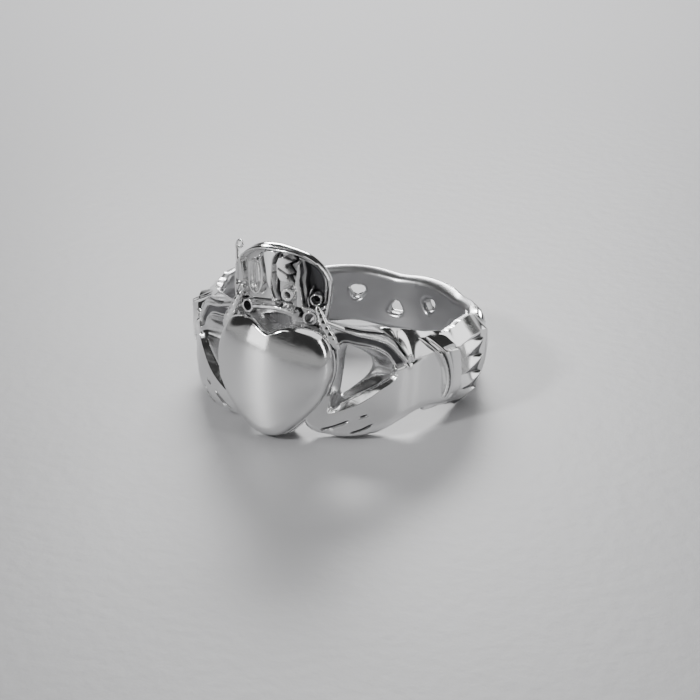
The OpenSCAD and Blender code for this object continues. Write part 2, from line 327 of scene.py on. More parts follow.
def drawn(s, z, rows, half_width, bends=0):
    """1 along the middle of a line through rows of (angle, height), and 0 from its half width on."""
    line = on_face(rows)
    line = curve(line, bends) if bends else line
    return cord(distance(s, z, line), half_width)


def bore_wall(height):
    """Radius of the finger hole's wall, which flares out softly above and below its straight part."""
    past = np.abs(height - ring_mm.middle) - ring_mm.straight / 2
    return ring_mm.bore + ring_mm.ease * smooth(past / FLARE)


# Meshes

# Points closer than this are one, in metres
DOUBLE = 0.0005 * MM
NO_POINTS = np.zeros((0, 3))


def put(name, data):
    """A new object of the scene."""
    obj = bpy.data.objects.new(name, data)
    bpy.context.scene.collection.objects.link(obj)
    return obj


def mesh_object(name, points=NO_POINTS, faces=(), edges=(), marks=None):
    """An object with a mesh of its own and a float attribute for each mark."""
    mesh = bpy.data.meshes.new(name)
    mesh.from_pydata(points.tolist(), edges, [tuple(face) for face in faces])
    for mark, values in (marks or {}).items():
        made = mesh.attributes.new(mark, "FLOAT", "POINT")
        made.data.foreach_set("value", values.astype(np.float32).ravel())
    return put(name, mesh)


def tidy(obj, sharp=38):
    """Merges doubles, turns faces outwards and shades smooth up to a crease angle."""
    made = bmesh.new()
    made.from_mesh(obj.data)
    bmesh.ops.remove_doubles(made, verts=made.verts, dist=DOUBLE)
    bmesh.ops.dissolve_degenerate(made, edges=made.edges, dist=DOUBLE / 5)
    bmesh.ops.recalc_face_normals(made, faces=made.faces)
    made.to_mesh(obj.data)
    made.free()
    obj.data.shade_smooth()
    obj.data.set_sharp_from_angle(angle=math.radians(sharp))
    return obj


def quads(rows, columns, ring):
    """Faces between rows of points, each row closed on itself, and the rows too where ring is true."""
    i, j = np.meshgrid(np.arange(rows if ring else rows - 1), np.arange(columns), indexing="ij")
    near, far, after = i * columns, (i + 1) % rows * columns, (j + 1) % columns
    return np.stack([near + j, near + after, far + after, far + j], -1).reshape(-1, 4)


def skin(name, loops, ring=False, marks=None):
    """A closed skin through an array of loops; unless it is a ring, a fan closes each end."""
    n, m = loops.shape[:2]
    points = loops.reshape(-1, 3)
    faces = quads(n, m, ring).tolist()
    marks = {key: np.broadcast_to(value, (n, m)).ravel() for key, value in (marks or {}).items()}
    if not ring:
        points = np.vstack([points, loops[[0, -1]].mean(1)])
        marks = {key: np.append(value, value[[0, -1]]) for key, value in marks.items()}
        for centre, first in ((n * m, 0), (n * m + 1, (n - 1) * m)):
            faces += [(first + j, first + (j + 1) % m, centre) for j in range(m)]
    return tidy(mesh_object(name, points, faces, marks=marks))


def finish_piece(obj):
    """Gives a piece its metal and its place in the frame."""
    if not obj.data.materials:
        obj.data.materials.append(silver())
    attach(obj, BODY)
    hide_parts(NODE)
    return obj


def applied(obj):
    """The object with its modifiers worked into a plain mesh."""
    graph = bpy.context.evaluated_depsgraph_get()
    found = obj.evaluated_get(graph)
    mesh = bpy.data.meshes.new_from_object(found, preserve_all_data_layers=True, depsgraph=graph)
    obj.modifiers.clear()
    obj.data = mesh
    mesh.name = obj.name
    return obj


# Sums on node sockets


class Num:
    """A socket that does sums: each operator adds its Math node."""

    def __init__(self, net, socket):
        self.net, self.socket = net, socket

    def __add__(self, other):
        return self.net.math("ADD", self, other)

    def __radd__(self, other):
        return self.net.math("ADD", other, self)

    def __sub__(self, other):
        return self.net.math("SUBTRACT", self, other)

    def __rsub__(self, other):
        return self.net.math("SUBTRACT", other, self)

    def __mul__(self, other):
        return self.net.math("MULTIPLY", self, other)

    def __rmul__(self, other):
        return self.net.math("MULTIPLY", other, self)


class Net:
    """A node tree with one way to add a node and one to feed a socket."""

    def __init__(self, tree):
        self.tree = tree
        tree.nodes.clear()

    def node(self, kind, settings=None, inputs=None):
        made = self.tree.nodes.new(kind)
        for key, value in (settings or {}).items():
            if key == "stops":
                self.stops(made.color_ramp, value)
            else:
                setattr(made, key, value)
        for key, value in (inputs or {}).items():
            self.feed(made.inputs[key], value)
        return made

    def stops(self, ramp, rows):
        """Sets a ramp's stops from rows of (position, grey)."""
        while len(ramp.elements) < len(rows):
            ramp.elements.new(1)
        for element, (at, grey) in zip(ramp.elements, rows):
            element.position, element.color = at, (grey, grey, grey, 1)

    def feed(self, socket, value):
        value = value.socket if isinstance(value, Num) else value
        if isinstance(value, bpy.types.NodeSocket):
            self.tree.links.new(value, socket)
        else:
            socket.default_value = value

    def math(self, operation, *values):
        return self.out("ShaderNodeMath", {"operation": operation}, dict(enumerate(values)))

    def out(self, kind, settings=None, inputs=None, name=0):
        """An output of a new node."""
        return Num(self, self.node(kind, settings, inputs).outputs[name])

    def vector(self, *values):
        return self.out("ShaderNodeCombineXYZ", inputs=dict(enumerate(values)))


# Silver

# Patterns on the metal: turns a metre, and octaves
CLOUDS = (420, 4)
HANDLING = (1500, 5)
GRAIN = (9000, 2)
SCRATCHES = (2600, 2)
# Scratches in three directions: how the pattern is stretched, how it is turned, strength
SCRATCH_WAYS = (
    ((0.06, 1, 1), (0.3, 0.5, 0.2), 0.5),
    ((1, 0.05, 1), (0.7, 0.1, 0.6), 0.3),
    ((0.07, 1, 0.9), (1.1, 0.8, 2.0), 0.4),
)
# How fully the inside's darker colour (painted shade on the satin) and the tarnish with painted shade cover
# the metal, and what the clouds add to that
SATIN_SHADE_COVER = 0.75
SATIN_SHADE_CLOUDS = 0.2
DULL_SHADE_COVER = 0.8
DULL_SHADE_CLOUDS = 0.45
# What clouds, handling, scratches and recesses add to the roughness
CLOUD_ROUGH = 0.06
HANDLED_ROUGH = 0.035
SCRATCHED_ROUGH = 0.07
RECESS_ROUGH = 0.22
# Relief of the surface, as shares of the dents' depth in metres; the satin has more grain
SCRATCH_DEPTH = 0.6
HANDLED_RISE = 0.35
GRAIN_RISE = 0.12
SATIN_GRAIN = 0.15
DENT_DEPTH = 0.00002
DENT_STRENGTH = 0.1


def silver():
    """Polished silver: recesses, grooves and shaded bands painted near-black as shade and dulled, a satin
    inside painted darker as shade, fine scratches and small dents.
    """
    found = bpy.data.materials.get(METAL)
    if found:
        return found
    look_of = bpy.context.scene.silver_look
    material = bpy.data.materials.new(METAL)
    material.use_nodes = True
    net = Net(material.node_tree)
    recess = net.out("ShaderNodeAttribute", {"attribute_name": "recess"}, name="Fac")
    inside = net.out("ShaderNodeAttribute", {"attribute_name": "inside"}, name="Fac")
    where = net.out("ShaderNodeTexCoord", name="Object")

    def noise(scale, detail, stretch=(1, 1, 1), turn=(0, 0, 0)):
        mapped = net.out("ShaderNodeMapping", inputs={"Vector": where, "Scale": stretch, "Rotation": turn})
        pattern = {"Vector": mapped, "Scale": scale, "Detail": detail}
        return net.out("ShaderNodeTexNoise", inputs=pattern, name="Fac")

    def ramp(value, low, high):
        return net.out("ShaderNodeValToRGB", {"stops": [(low, 0), (high, 1)]}, {"Fac": value})

    def blend(share, first, second):
        """One colour blended into another by this share."""
        colours = {"Factor": share, 6: first, 7: (*second, 1)}
        return net.out("ShaderNodeMix", {"data_type": "RGBA", "clamp_factor": True}, colours, 2)

    def scratches(stretch, turn, strength):
        return ramp(noise(*SCRATCHES, stretch, turn), 0.6, 0.66) * strength

    cloud = noise(*CLOUDS)
    handled = ramp(noise(*HANDLING), 0.42, 0.62)
    first, second, third = (scratches(*way) for way in SCRATCH_WAYS)
    scratched = first + second + third
    grain = noise(*GRAIN)

    # Painted shade: the inside is blended toward the darker inner colour, and the marked recesses, grooves
    # and bands toward the near-black tarnish colour, which also dulls and roughens the metal there
    worn_and_shaded = blend(inside * (SATIN_SHADE_COVER + cloud * SATIN_SHADE_CLOUDS), (*look_of.colour, 1), look_of.inner)
    dull_and_shade = recess * (DULL_SHADE_COVER + cloud * DULL_SHADE_CLOUDS)
    tone = blend(dull_and_shade, worn_and_shaded, look_of.tarnish_and_shade)
    rough = look_of.polish + cloud * CLOUD_ROUGH + handled * HANDLED_ROUGH + scratched * SCRATCHED_ROUGH
    rough = rough + inside * (look_of.satin - look_of.polish) + recess * RECESS_ROUGH
    grained = grain * (inside * SATIN_GRAIN + GRAIN_RISE)
    height = scratched * -SCRATCH_DEPTH + handled * HANDLED_RISE + grained
    dents = {"Strength": DENT_STRENGTH, "Distance": DENT_DEPTH, "Height": height}
    bumps = net.out("ShaderNodeBump", inputs=dents)
    metal = {"Base Color": tone, "Metallic": 1 - dull_and_shade * 0.75, "Roughness": rough, "Normal": bumps}
    surface = net.out("ShaderNodeBsdfPrincipled", inputs=metal)
    net.node("ShaderNodeOutputMaterial", inputs={"Surface": surface})
    return material


# Lines and strands made by nodes


def node_group(name, inputs, out):
    """A new tree with inputs from rows of (name, kind): the tree, its net and its inputs' sockets."""
    tree = bpy.data.node_groups.new(name, "GeometryNodeTree")
    for label, kind in inputs:
        tree.interface.new_socket(name=label, in_out="INPUT", socket_type="NodeSocket" + kind)
    tree.interface.new_socket(name=out, in_out="OUTPUT", socket_type="NodeSocketGeometry")
    net = Net(tree)
    return tree, net, net.node("NodeGroupInput").outputs


def sweep(net, path, section, thick, metal):
    """Sweeps a section along a path, each point at its own thickness, and puts it out as real metal."""
    swept = {"Curve": path, "Profile Curve": section, "Scale": thick, "Fill Caps": True}
    made = net.out("GeometryNodeCurveToMesh", inputs=swept)
    real = net.out("GeometryNodeRealizeInstances", inputs={"Geometry": made})
    dressed = net.out("GeometryNodeSetMaterial", inputs={"Geometry": real, "Material": metal})
    net.node("NodeGroupOutput", inputs={0: dressed})


def circle(net, sides):
    return net.out("GeometryNodeCurvePrimitiveCircle", inputs={"Resolution": sides, "Radius": 1.0})


def wire_nodes():
    """Sweeps a round section of each point's own thickness along the edges of a mesh."""
    if "wire" in bpy.data.node_groups:
        return bpy.data.node_groups["wire"]
    inputs = (("Lines", "Geometry"), ("Sides", "Int"), ("Metal", "Material"))
    tree, net, given = node_group("wire", inputs, "Wires")
    path = net.out("GeometryNodeMeshToCurve", inputs={"Mesh": given["Lines"]})
    thick = net.out("GeometryNodeInputNamedAttribute", {"data_type": "FLOAT"}, {"Name": "thick"})
    sweep(net, path, circle(net, given["Sides"]), thick, given["Metal"])
    return tree


def run_nodes(obj, tree, values):
    """Puts a node tree on an object, feeds its named inputs and works it into a plain mesh."""
    modifier = obj.modifiers.new(tree.name, "NODES")
    modifier.node_group = tree
    names = {item.name: item.identifier for item in tree.interface.items_tree if item.item_type == "SOCKET"}
    for name, value in values.items():
        modifier[names[name]] = value
    return tidy(applied(obj), 50)


def wires(name, lines, sides=16):
    """A finished piece of silver lines, each given as rows of (angle, radius, height, thickness)."""
    rows = np.vstack(lines)
    edges, first = [], 0
    for line in lines:
        edges += [(first + i, first + i + 1) for i in range(len(line) - 1)]
        first += len(line)
    obj = mesh_object(name, place(*rows.T[:3]), edges=edges, marks={"thick": rows[:, 3] * MM})
    return finish_piece(run_nodes(obj, wire_nodes(), {"Sides": sides, "Metal": silver()}))


def wire_rows(angle, radius, height, thick):
    """Rows of a wire from its columns, any of which may be one number."""
    return np.stack(np.broadcast_arrays(angle, radius, height, thick), 1)


def both_sides(rows):
    """A line on the right side and the same one on the left."""
    return [rows, rows * [-1, 1, 1, 1]]


# Heart

# Half outline from tip to cleft: share of the half width, share of the height
HEART = [
    (0, 0), (0.2, 0.022), (0.42, 0.11), (0.8, 0.34), (0.96, 0.53), (1, 0.68), (0.95, 0.83), (0.83, 0.93),
    (0.67, 0.98), (0.5, 1), (0.34, 1.003), (0.23, 0.99), (0.14, 0.965), (0.06, 0.94), (0, 0.928),
]
HEART_MID = 0.5
# Half axes of the dome's egg, as shares of the heart's width and height
EGG_WIDTH = 0.66
EGG_HEIGHT = 0.62
# How far in from the edge the dome rolls off, round the sides and at the cleft
SIDE_ROLL = 1.1
CLEFT_ROLL = 0.22
CLEFT_HALF_WIDTH = 2.2
CLEFT_FROM = 5.5
# Share of the dome's rise that the sharp edge at the cleft keeps
CLEFT_EDGE = 0.62
# Painted shade round the rim and on the side wall, where the heart meets the hands, dulled like tarnish:
# strength, how far in and how far up it reaches
RIM_DULL_SHADE = 0.6
RIM_REACH = 0.45
RIM_TOP = 7
# Fine lines down the sides: share of the outline's size, rise above the rim
SIDE_LINES = ((1.0, -0.05), (1.045, -0.45))
SIDE_LINE_THICK = 0.08
SIDE_LINE_FOOT = 0.3
SIDE_LINE_TOP = 7.4


def heart_outline():
    half = curve(HEART, 13) * [heart_mm.width / 2, heart_mm.height]
    return np.vstack([half, (half * [-1, 1])[-2:0:-1]])


def dome(s, z, from_edge):
    """Radius of the heart's face, which rolls off round the sides and ends crisply at the cleft."""
    x = s / (EGG_WIDTH * heart_mm.width)
    y = (z / heart_mm.height - HEART_MID) / EGG_HEIGHT
    cleft = np.exp(-((s / CLEFT_HALF_WIDTH) ** 4)) * smooth((z - CLEFT_FROM) / 2)
    d = 1 - np.clip(from_edge / mix(SIDE_ROLL, CLEFT_ROLL, cleft), 0, 1)
    roll = np.clip(1 - d**2.6, 0, 1) ** 0.55
    egg = half_round(np.hypot(x, y))
    return ring_mm.bore + heart_mm.thick + heart_mm.dome * egg * mix(roll, mix(CLEFT_EDGE, 1, roll), cleft)


def heart_places(outline, share):
    """The outline drawn in to this share of its size."""
    centre = np.array([0, HEART_MID * heart_mm.height])
    return centre + (outline - centre) * share


class BuildHeart(bpy.types.Operator):
    """Builds the domed heart and the lines round its edge"""

    bl_idname = "claddagh.heart"
    bl_label = "Heart"

    def execute(self, context):
        outline = heart_outline()
        self.body(outline)
        self.side_lines(outline)
        return {"FINISHED"}

    def body(self, outline):
        """The domed face, then the side wall down to the bore."""
        edge = np.vstack([outline, outline[:1]])
        loops, dull_and_shade = [], []
        for t in shares(90):
            p = heart_places(outline, 0.02 + 0.98 * math.sin(t * math.pi / 2) ** 1.1)
            from_edge = distance(*p.T, edge)
            loops.append(place(angle_of(p[:, 0]), dome(*p.T, from_edge), p[:, 1]))
            dull_and_shade.append(RIM_DULL_SHADE * smooth(1 - from_edge / RIM_REACH) * (p[:, 1] < RIM_TOP))
        rim = dome(*outline.T, 0.0)
        for t in shares(14)[1:]:
            radius = mix(rim - 0.04, ring_mm.bore + 0.05, t)
            loops.append(place(angle_of(outline[:, 0]), radius, outline[:, 1]))
            # The whole side wall is painted in shade
            dull_and_shade.append(RIM_DULL_SHADE + 0 * rim)
        dull_and_shade = np.array(dull_and_shade)
        finish_piece(skin("heart", np.array(loops), marks={"recess": dull_and_shade, "inside": dull_and_shade * 0}))

    def side_lines(self, outline):
        lines = []
        for share, rise in SIDE_LINES:
            p = heart_places(outline, share)
            rim = dome(*outline.T, 0.0)
            line = wire_rows(angle_of(p[:, 0]), rim + rise, p[:, 1], SIDE_LINE_THICK)
            line = line[(line[:, 2] > SIDE_LINE_FOOT) & (line[:, 2] < SIDE_LINE_TOP)]
            lines += [line[line[:, 0] > 1], line[line[:, 0] < -1]]
        wires("heart_lines", lines)


# Hands

# Stations round the palm's opening, as shares of the hand's length and of the heart's height
# Columns: lip arc, lip height, inner arc, inner height, ridge arc, ridge height, edge arc, edge height,
# how flat the chamfer outside the ridge is, width of the bevel outside the lip
HAND = [
    (0.355, 0.848, 0.385, 0.800, 0.275, 1.050, 0.227, 0.995, 1, 0),
    (0.435, 0.835, 0.430, 0.775, 0.395, 1.010, 0.387, 0.975, 1, 0),
    (0.515, 0.805, 0.475, 0.740, 0.520, 0.985, 0.520, 0.970, 1, 0),
    (0.573, 0.755, 0.515, 0.700, 0.650, 0.845, 0.660, 0.945, 1, 0),
    (0.600, 0.715, 0.528, 0.672, 0.727, 0.700, 0.745, 0.922, 1, 0),
    (0.615, 0.672, 0.537, 0.640, 0.820, 0.745, 0.840, 0.885, 1, 0),
    (0.624, 0.628, 0.540, 0.600, 0.985, 0.780, 1.000, 0.830, 1, 0.12),
    (0.618, 0.592, 0.530, 0.560, 0.990, 0.610, 1.000, 0.622, 0.5, 0.3),
    (0.600, 0.560, 0.515, 0.525, 0.990, 0.440, 1.000, 0.433, 0, 0.42),
    (0.567, 0.527, 0.490, 0.488, 0.980, 0.310, 1.000, 0.228, 0, 0.5),
    (0.527, 0.492, 0.460, 0.450, 0.800, 0.330, 0.813, 0.212, 0, 0.55),
    (0.487, 0.456, 0.430, 0.415, 0.665, 0.245, 0.680, 0.122, 0, 0.6),
    (0.447, 0.421, 0.405, 0.385, 0.555, 0.165, 0.573, 0.039, 0, 0.64),
    (0.407, 0.385, 0.382, 0.362, 0.430, 0.125, 0.440, 0.000, 0, 0.66),
    (0.360, 0.335, 0.362, 0.352, 0.325, 0.110, 0.320, 0.006, 0, 0.62),
    (0.318, 0.285, 0.353, 0.385, 0.215, 0.130, 0.200, 0.050, 0, 0.5),
    (0.310, 0.378, 0.358, 0.460, 0.180, 0.240, 0.160, 0.180, 0, 0.2),
    (0.318, 0.556, 0.366, 0.590, 0.180, 0.530, 0.160, 0.510, 0, 0),
    (0.328, 0.733, 0.373, 0.735, 0.190, 0.850, 0.173, 0.850, 0.5, 0),
]
# Lines on the hand, as rows of (angle, height)
FINGER_GROOVES = [
    [(19.5, 0.95), (24, 1.25), (29.6, 1.75)],
    [(30.6, 0.75), (34.5, 1.05), (38.8, 1.5)],
    [(33.6, 2.05), (36.6, 2.25)],
]
RIDGE = [
    (20, 9.3), (26.6, 8.85), (32.6, 8.45), (38.1, 8.2), (42.2, 7.9), (45.4, 7.45), (47.7, 7.0), (50.6, 6.35),
    (52.2, 5.9),
]
SLIT = [(27, 9.0), (32.9, 8.75), (38, 8.65), (42.5, 8.45), (46.2, 7.9), (48.6, 7.25), (50.6, 6.7)]
KNUCKLE = [(53.6, 6.3), (52.3, 6.75), (51.6, 6.2)]
VALLEY = [(52.2, 6.2), (52, 4), (52.4, 1.4)]
# Their half widths, rises and depths
GROOVE_HALF_WIDTH = 0.11
RIDGE_HALF_WIDTH = 0.24
RIDGE_RISE = 0.2
SLIT_HALF_WIDTH = 0.12
SLIT_DEPTH = 0.3
VALLEY_HALF_WIDTH = 0.7
VALLEY_DEPTH = 0.05
# The raised line on the lip: distance from the lip, half width, rise
LIP_LINE = (0.09, 0.11, 0.14)
# The face falls to the lip over this distance, and is hollowed a little between
DISH_REACH = 1.5
DISH_AT = 0.55
DISH_WIDTH = 0.45
DISH_DEPTH = 0.13
# A band of painted shade on the palm's face round its opening, by its distance from the lip
PALM_SHADE_FROM = 0.2
PALM_SHADE_TO = 1.2
# How much deeper than the lip the bevel below the palm's opening falls
BEVEL_DROP = 0.12
# Degrees over which the hand falls a little into the wrist
WRIST_FROM = 53
WRIST_EASE = 6
WRIST_DEPTH = 0.05
# How far a skin stands clear of the solid's bore, and the thin edge round the palm's opening
CLEAR = 0.02
BRINK = 0.25
# Satin of the palm opening's scooped wall, at the bore and at the lip; it also paints the wall darker as
# shade
SCOOP_SATIN_SHADE = 0.8
LIP_SATIN_SHADE = 0.2
# The band under the hand's edge: share of its edge thickness where it is round, and thickness and hollow
# of the chamfer where it is flat, then the rounding of its inner edge
ROUND_EDGE = 0.8
FLAT_EDGE = 0.4
FLAT_HOLLOW = 0.06
INNER_ROUND = 0.34
# Thumb from the crown's foot down the heart's shoulder: angle, rise above the face, height, thickness
THUMB = [
    (15.8, -0.12, 10.55, 0.18),
    (17.0, -0.06, 10.05, 0.3),
    (18.7, -0.02, 9.3, 0.36),
    (20.9, 0.0, 8.55, 0.38),
    (23.0, -0.02, 7.9, 0.34),
    (24.6, -0.1, 7.3, 0.23),
]


def line_at(x, at, half_width, rise):
    """A straight raised or cut line's rise at distances x from an edge."""
    return rise * cord(np.abs(x - at), half_width)


def finger_cut(s, z):
    """1 along the middle of the grooves between the fingers."""
    cut = s * 0
    for groove in FINGER_GROOVES:
        ends = smooth(np.minimum(s - arc(groove[0][0]), arc(groove[-1][0]) - s) / 0.35 + 0.4)
        cut = np.maximum(cut, half_round(distance(s, z, on_face(groove)), GROOVE_HALF_WIDTH) * ends)
    return cut


def hand_face(s, z, from_lip, bevel):
    """Radius of the hand's face between lip and ridge, and how dark it is painted there: painted shade in
    the finger grooves, the slit and a band round the opening.
    """
    hollow = DISH_DEPTH * bump(from_lip - DISH_AT, DISH_WIDTH)
    dish = hand_mm.lip * np.exp(-((from_lip / DISH_REACH) ** 1.7)) + hollow
    slope = (hand_mm.lip + BEVEL_DROP) * np.clip(1 - from_lip / np.maximum(bevel, 0.01), 0, 1)
    lined = smooth(bevel / 0.15)
    ridge = drawn(s, z, RIDGE, RIDGE_HALF_WIDTH, 6)
    slit = drawn(s, z, SLIT, SLIT_HALF_WIDTH, 6)
    valley = bump(distance(s, z, on_face(VALLEY)), VALLEY_HALF_WIDTH)
    wrist = smooth((s - arc(WRIST_FROM)) / arc(WRIST_EASE))
    cut = finger_cut(s, z)
    raised = line_at(from_lip, *LIP_LINE) + RIDGE_RISE * ridge
    sunk = SLIT_DEPTH * slit + VALLEY_DEPTH * valley + WRIST_DEPTH * wrist + hand_mm.groove * cut
    # Painted shade: a dark band on the face round the palm's opening, added to the painted shade in the
    # finger grooves and the slit
    shaded = smooth((from_lip - PALM_SHADE_FROM) / 0.15) * smooth((PALM_SHADE_TO - from_lip) / 0.25)
    shaded = shaded * (1 - lined) * (1 - ridge)
    return face_radius() - mix(dish, slope, lined) + raised - sunk, np.clip(cut + slit + shaded, 0, 1)


def hand_skin():
    """Rows of (arc, radius, height, dull, inside) from the palm's opening over the face and back inside."""
    rows = curve(HAND, 20, closed=True)
    scale = np.array([hand_mm.length, heart_mm.height - hand_mm.low])
    lip, inner, ridge, edge = (rows[:, k : k + 2] * scale + [0, hand_mm.low] for k in (0, 2, 4, 6))
    chamfer, bevel = np.clip(rows[:, 8:].T, 0, 1)
    out = []

    def add(p, radius, dull_and_shade=0.0, inside=0.0):
        out.append(np.stack(np.broadcast_arrays(p[:, 0], radius, p[:, 1], dull_and_shade, inside)))

    # The scooped wall of the palm's opening, from a thin edge at the bore out to the lip
    lip_radius, _ = hand_face(*lip.T, 0 * bevel, bevel)
    wall = bore_wall(inner[:, 1])
    # Painted shade on the scooped wall, darkest at the bore and fading towards the lip
    for t in shares(6)[:-1]:
        add(inner, mix(wall + CLEAR, wall + BRINK, t), 0.3, SCOOP_SATIN_SHADE)
    for t in shares(22)[:-1]:
        scoop = mix(wall + BRINK, lip_radius, t**1.5)
        add(mix(inner, lip, t), scoop, 0.1 * (1 - t), mix(SCOOP_SATIN_SHADE, LIP_SATIN_SHADE, t))
    # The face, from the lip to the ridge, with more rows near the lip
    length = np.hypot(*(ridge - lip).T)
    for t in np.concatenate([np.linspace(0, 0.2, 28), np.linspace(0.2, 1, 74)[1:]]):
        p = mix(lip, ridge, t)
        ridge_radius, dull_and_shade = hand_face(*p.T, t * length, bevel)
        add(p, ridge_radius, dull_and_shade)
    # Over the ridge: a flat chamfer above, a round fall below
    round_edge = ring_mm.bore + ring_mm.edge * ROUND_EDGE
    edge_radius = mix(round_edge, bore_wall(edge[:, 1]) + FLAT_EDGE, chamfer)
    for t in shares(28)[1:]:
        turn = t * math.pi / 2
        flat = mix(ridge_radius, edge_radius, t) - FLAT_HOLLOW * math.sin(t * math.pi)
        round_off = edge_radius + (ridge_radius - edge_radius) * math.cos(turn)
        p = mix(ridge, edge, mix(math.sin(turn), t, chamfer)[:, None])
        # The finger grooves are painted in shade
        cut = finger_cut(*p.T)
        add(p, mix(round_off, flat, chamfer) - hand_mm.groove * cut, cut)
    # The rounded inner edge and the bore's wall, which take the inside's darker colour as painted shade
    wall = bore_wall(edge[:, 1])
    inward = (inner - edge) / np.maximum(np.hypot(*(inner - edge).T), 0.5)[:, None]
    for t in shares(10)[1:]:
        turn = t * math.pi / 2
        p = edge + inward * INNER_ROUND * (1 - math.cos(turn))
        add(p, mix(edge_radius, wall + CLEAR, math.sin(turn)), 0, t)
    for t in shares(12)[1:-1]:
        q = mix(p, inner, t)
        add(q, bore_wall(q[:, 1]) + CLEAR, 0, 1)
    return np.array(out).transpose(1, 0, 2)


class BuildHands(bpy.types.Operator):
    """Builds both hands with the lumps of their knuckles, and their thumbs"""

    bl_idname = "claddagh.hands"
    bl_label = "Hands"

    def execute(self, context):
        s, radius, z, dull_and_shade, inside = hand_skin()
        for name, side in (("hand_right", 1), ("hand_left", -1)):
            loops = place(angle_of(side * s), radius, z)
            finish_piece(skin(name, loops, ring=True, marks={"recess": dull_and_shade, "inside": inside}))
        self.knuckles()
        self.thumbs()
        return {"FINISHED"}

    def knuckles(self):
        """Small lumps where the hand's double ridge ends."""
        rows = curve(KNUCKLE, 10)
        t = np.linspace(-1, 1, len(rows))
        size = 0.05 + 0.1 * half_round(t) * (1 + 0.25 * np.cos(t * 7))
        wires("knuckles", both_sides(wire_rows(rows[:, 0], face_radius() - 0.04, rows[:, 1], size)), 20)

    def thumbs(self):
        """Uneven rolls that are closed at both their ends."""
        rows = curve(THUMB, 12) + [0, face_radius(), 0, 0]
        t = shares(len(rows))
        close = np.sqrt(np.clip(1 - (2 * t - 1) ** 12, 0.02, 1))
        rows[:, 3] *= close * (1 + 0.1 * np.sin(t * 37) * np.sin(t * 17 + 1))
        wires("thumbs", both_sides(rows), 32)


# Band: the cuffs, and the plait at the back, by their angles from the heart's middle

# Height of the band's edges: angle, share of the way from the plait's height to the cuff's
EDGES = [
    (55, 0.85), (66, 0.62), (74, 0.5), (79, 0.7), (85, 1), (93, 1), (101, 0.55), (107, 0.1), (112, 0),
    (180, 0),
]
CUFF_FRONT = 68
BEADS_TO = 71.4
PLEATS_FROM = 75
PLEATS_TO = 94
# Painted shade on the pleats reaches to this angle
PLEAT_SHADE_TO = 97
STRAP_FROM = 97.5
# Between these angles the cuff's section turns into the plait's
TURN_FROM = 104
TURN_TO = 112
PLAIT_FROM = 108
PLAIT_END = 120
# Degrees by which the cuff's front bows and slants, and the pleats' front edge bows
CUFF_BOW = 7
CUFF_SLANT = 3
PLEAT_BOW = 2.3
# The pleats' field on the cuff's half height: its half width, its middle and its slope
PLEAT_FIELD = 0.8
PLEAT_MIDDLE = -0.18
PLEAT_SLOPE = 0.12
# Steps down to the pleats and behind them, and the strap's rise over the strands
PLEAT_STEP = 0.42
BACK_STEP = 0.25
STRAP_RISE = 0.25
# Degrees over which the strap rises and falls
BAND_EASE = 6
# Share of the cuff's half height where its upper chamfer starts
BREAK = 0.66
# Lines along the cuff's front: distance from its front edge, half width, rise or share of the depth
GRAINED_BEAD = (0.13, 0.15, 0.2)
PLAIN_BEAD = (0.5, 0.18, 0.26)
BEAD_GROOVE = (0.3, 0.1, 1)
LAST_GROOVE = (0.74, 0.12, 0.6)
BEAD_GROOVE_DEPTH = 0.16
# Rounding of the band's inner edges
RIM_ROUND = 0.35
# Room between a strand at the end of its swing and the band's edge
SWING_CLEAR = 0.03
# Degrees from eye to eye of the plait, the strands' phases, and how the band's edges follow them
EYE_STEP = 20
PHASES = (30, 150, 270)
WAVE = 0.75
WAVE_SHARP = 6
UPPER_WAVE_RISE = 0.1


def plait_turn(angle):
    """Angle in the strands' own swing, which repeats every six eyes."""
    return np.radians((angle - 180) * 60 / EYE_STEP)


def swing():
    """How far a strand's middle line swings up and down from the band's middle."""
    return (plait_mm.height - plait_mm.strand) / 2 - SWING_CLEAR


def band_edges(angle):
    """Heights of the band's lower and upper edge."""
    a = np.abs(angle)
    half = mix(plait_mm.height, cuff_mm.height, look(EDGES, a)) / 2
    follow = smooth((a - PLAIT_FROM) / 8)
    out = []
    for side in (-1, 1):
        swings = [side * np.sin(plait_turn(angle) + math.radians(p)) for p in PHASES]
        crest = np.log(np.sum(np.exp(WAVE_SHARP * np.array(swings)), 0)) / WAVE_SHARP
        rise = UPPER_WAVE_RISE * (side > 0) + (crest - 1) * WAVE
        out.append(ring_mm.middle + side * (half + rise * follow))
    return out


def strand_floor():
    """Radius of the back wall's outer face, which the strands lie on."""
    return ring_mm.bore + plait_mm.thick - plait_mm.rise


def band_top(angle):
    """Radius of the band's outer face before pleats and strands."""
    a = np.abs(angle)
    field = ring_mm.bore + cuff_mm.thick - PLEAT_STEP * smooth((a - PLEATS_FROM + 0.3) / 0.6)
    behind = field - BACK_STEP * smooth((a - PLEATS_TO) / 0.8)
    strap = ring_mm.bore + plait_mm.thick + STRAP_RISE
    past = mix(behind, strap, smooth((a - STRAP_FROM) / BAND_EASE))
    return mix(past, strand_floor(), smooth((a - TURN_TO) / BAND_EASE))


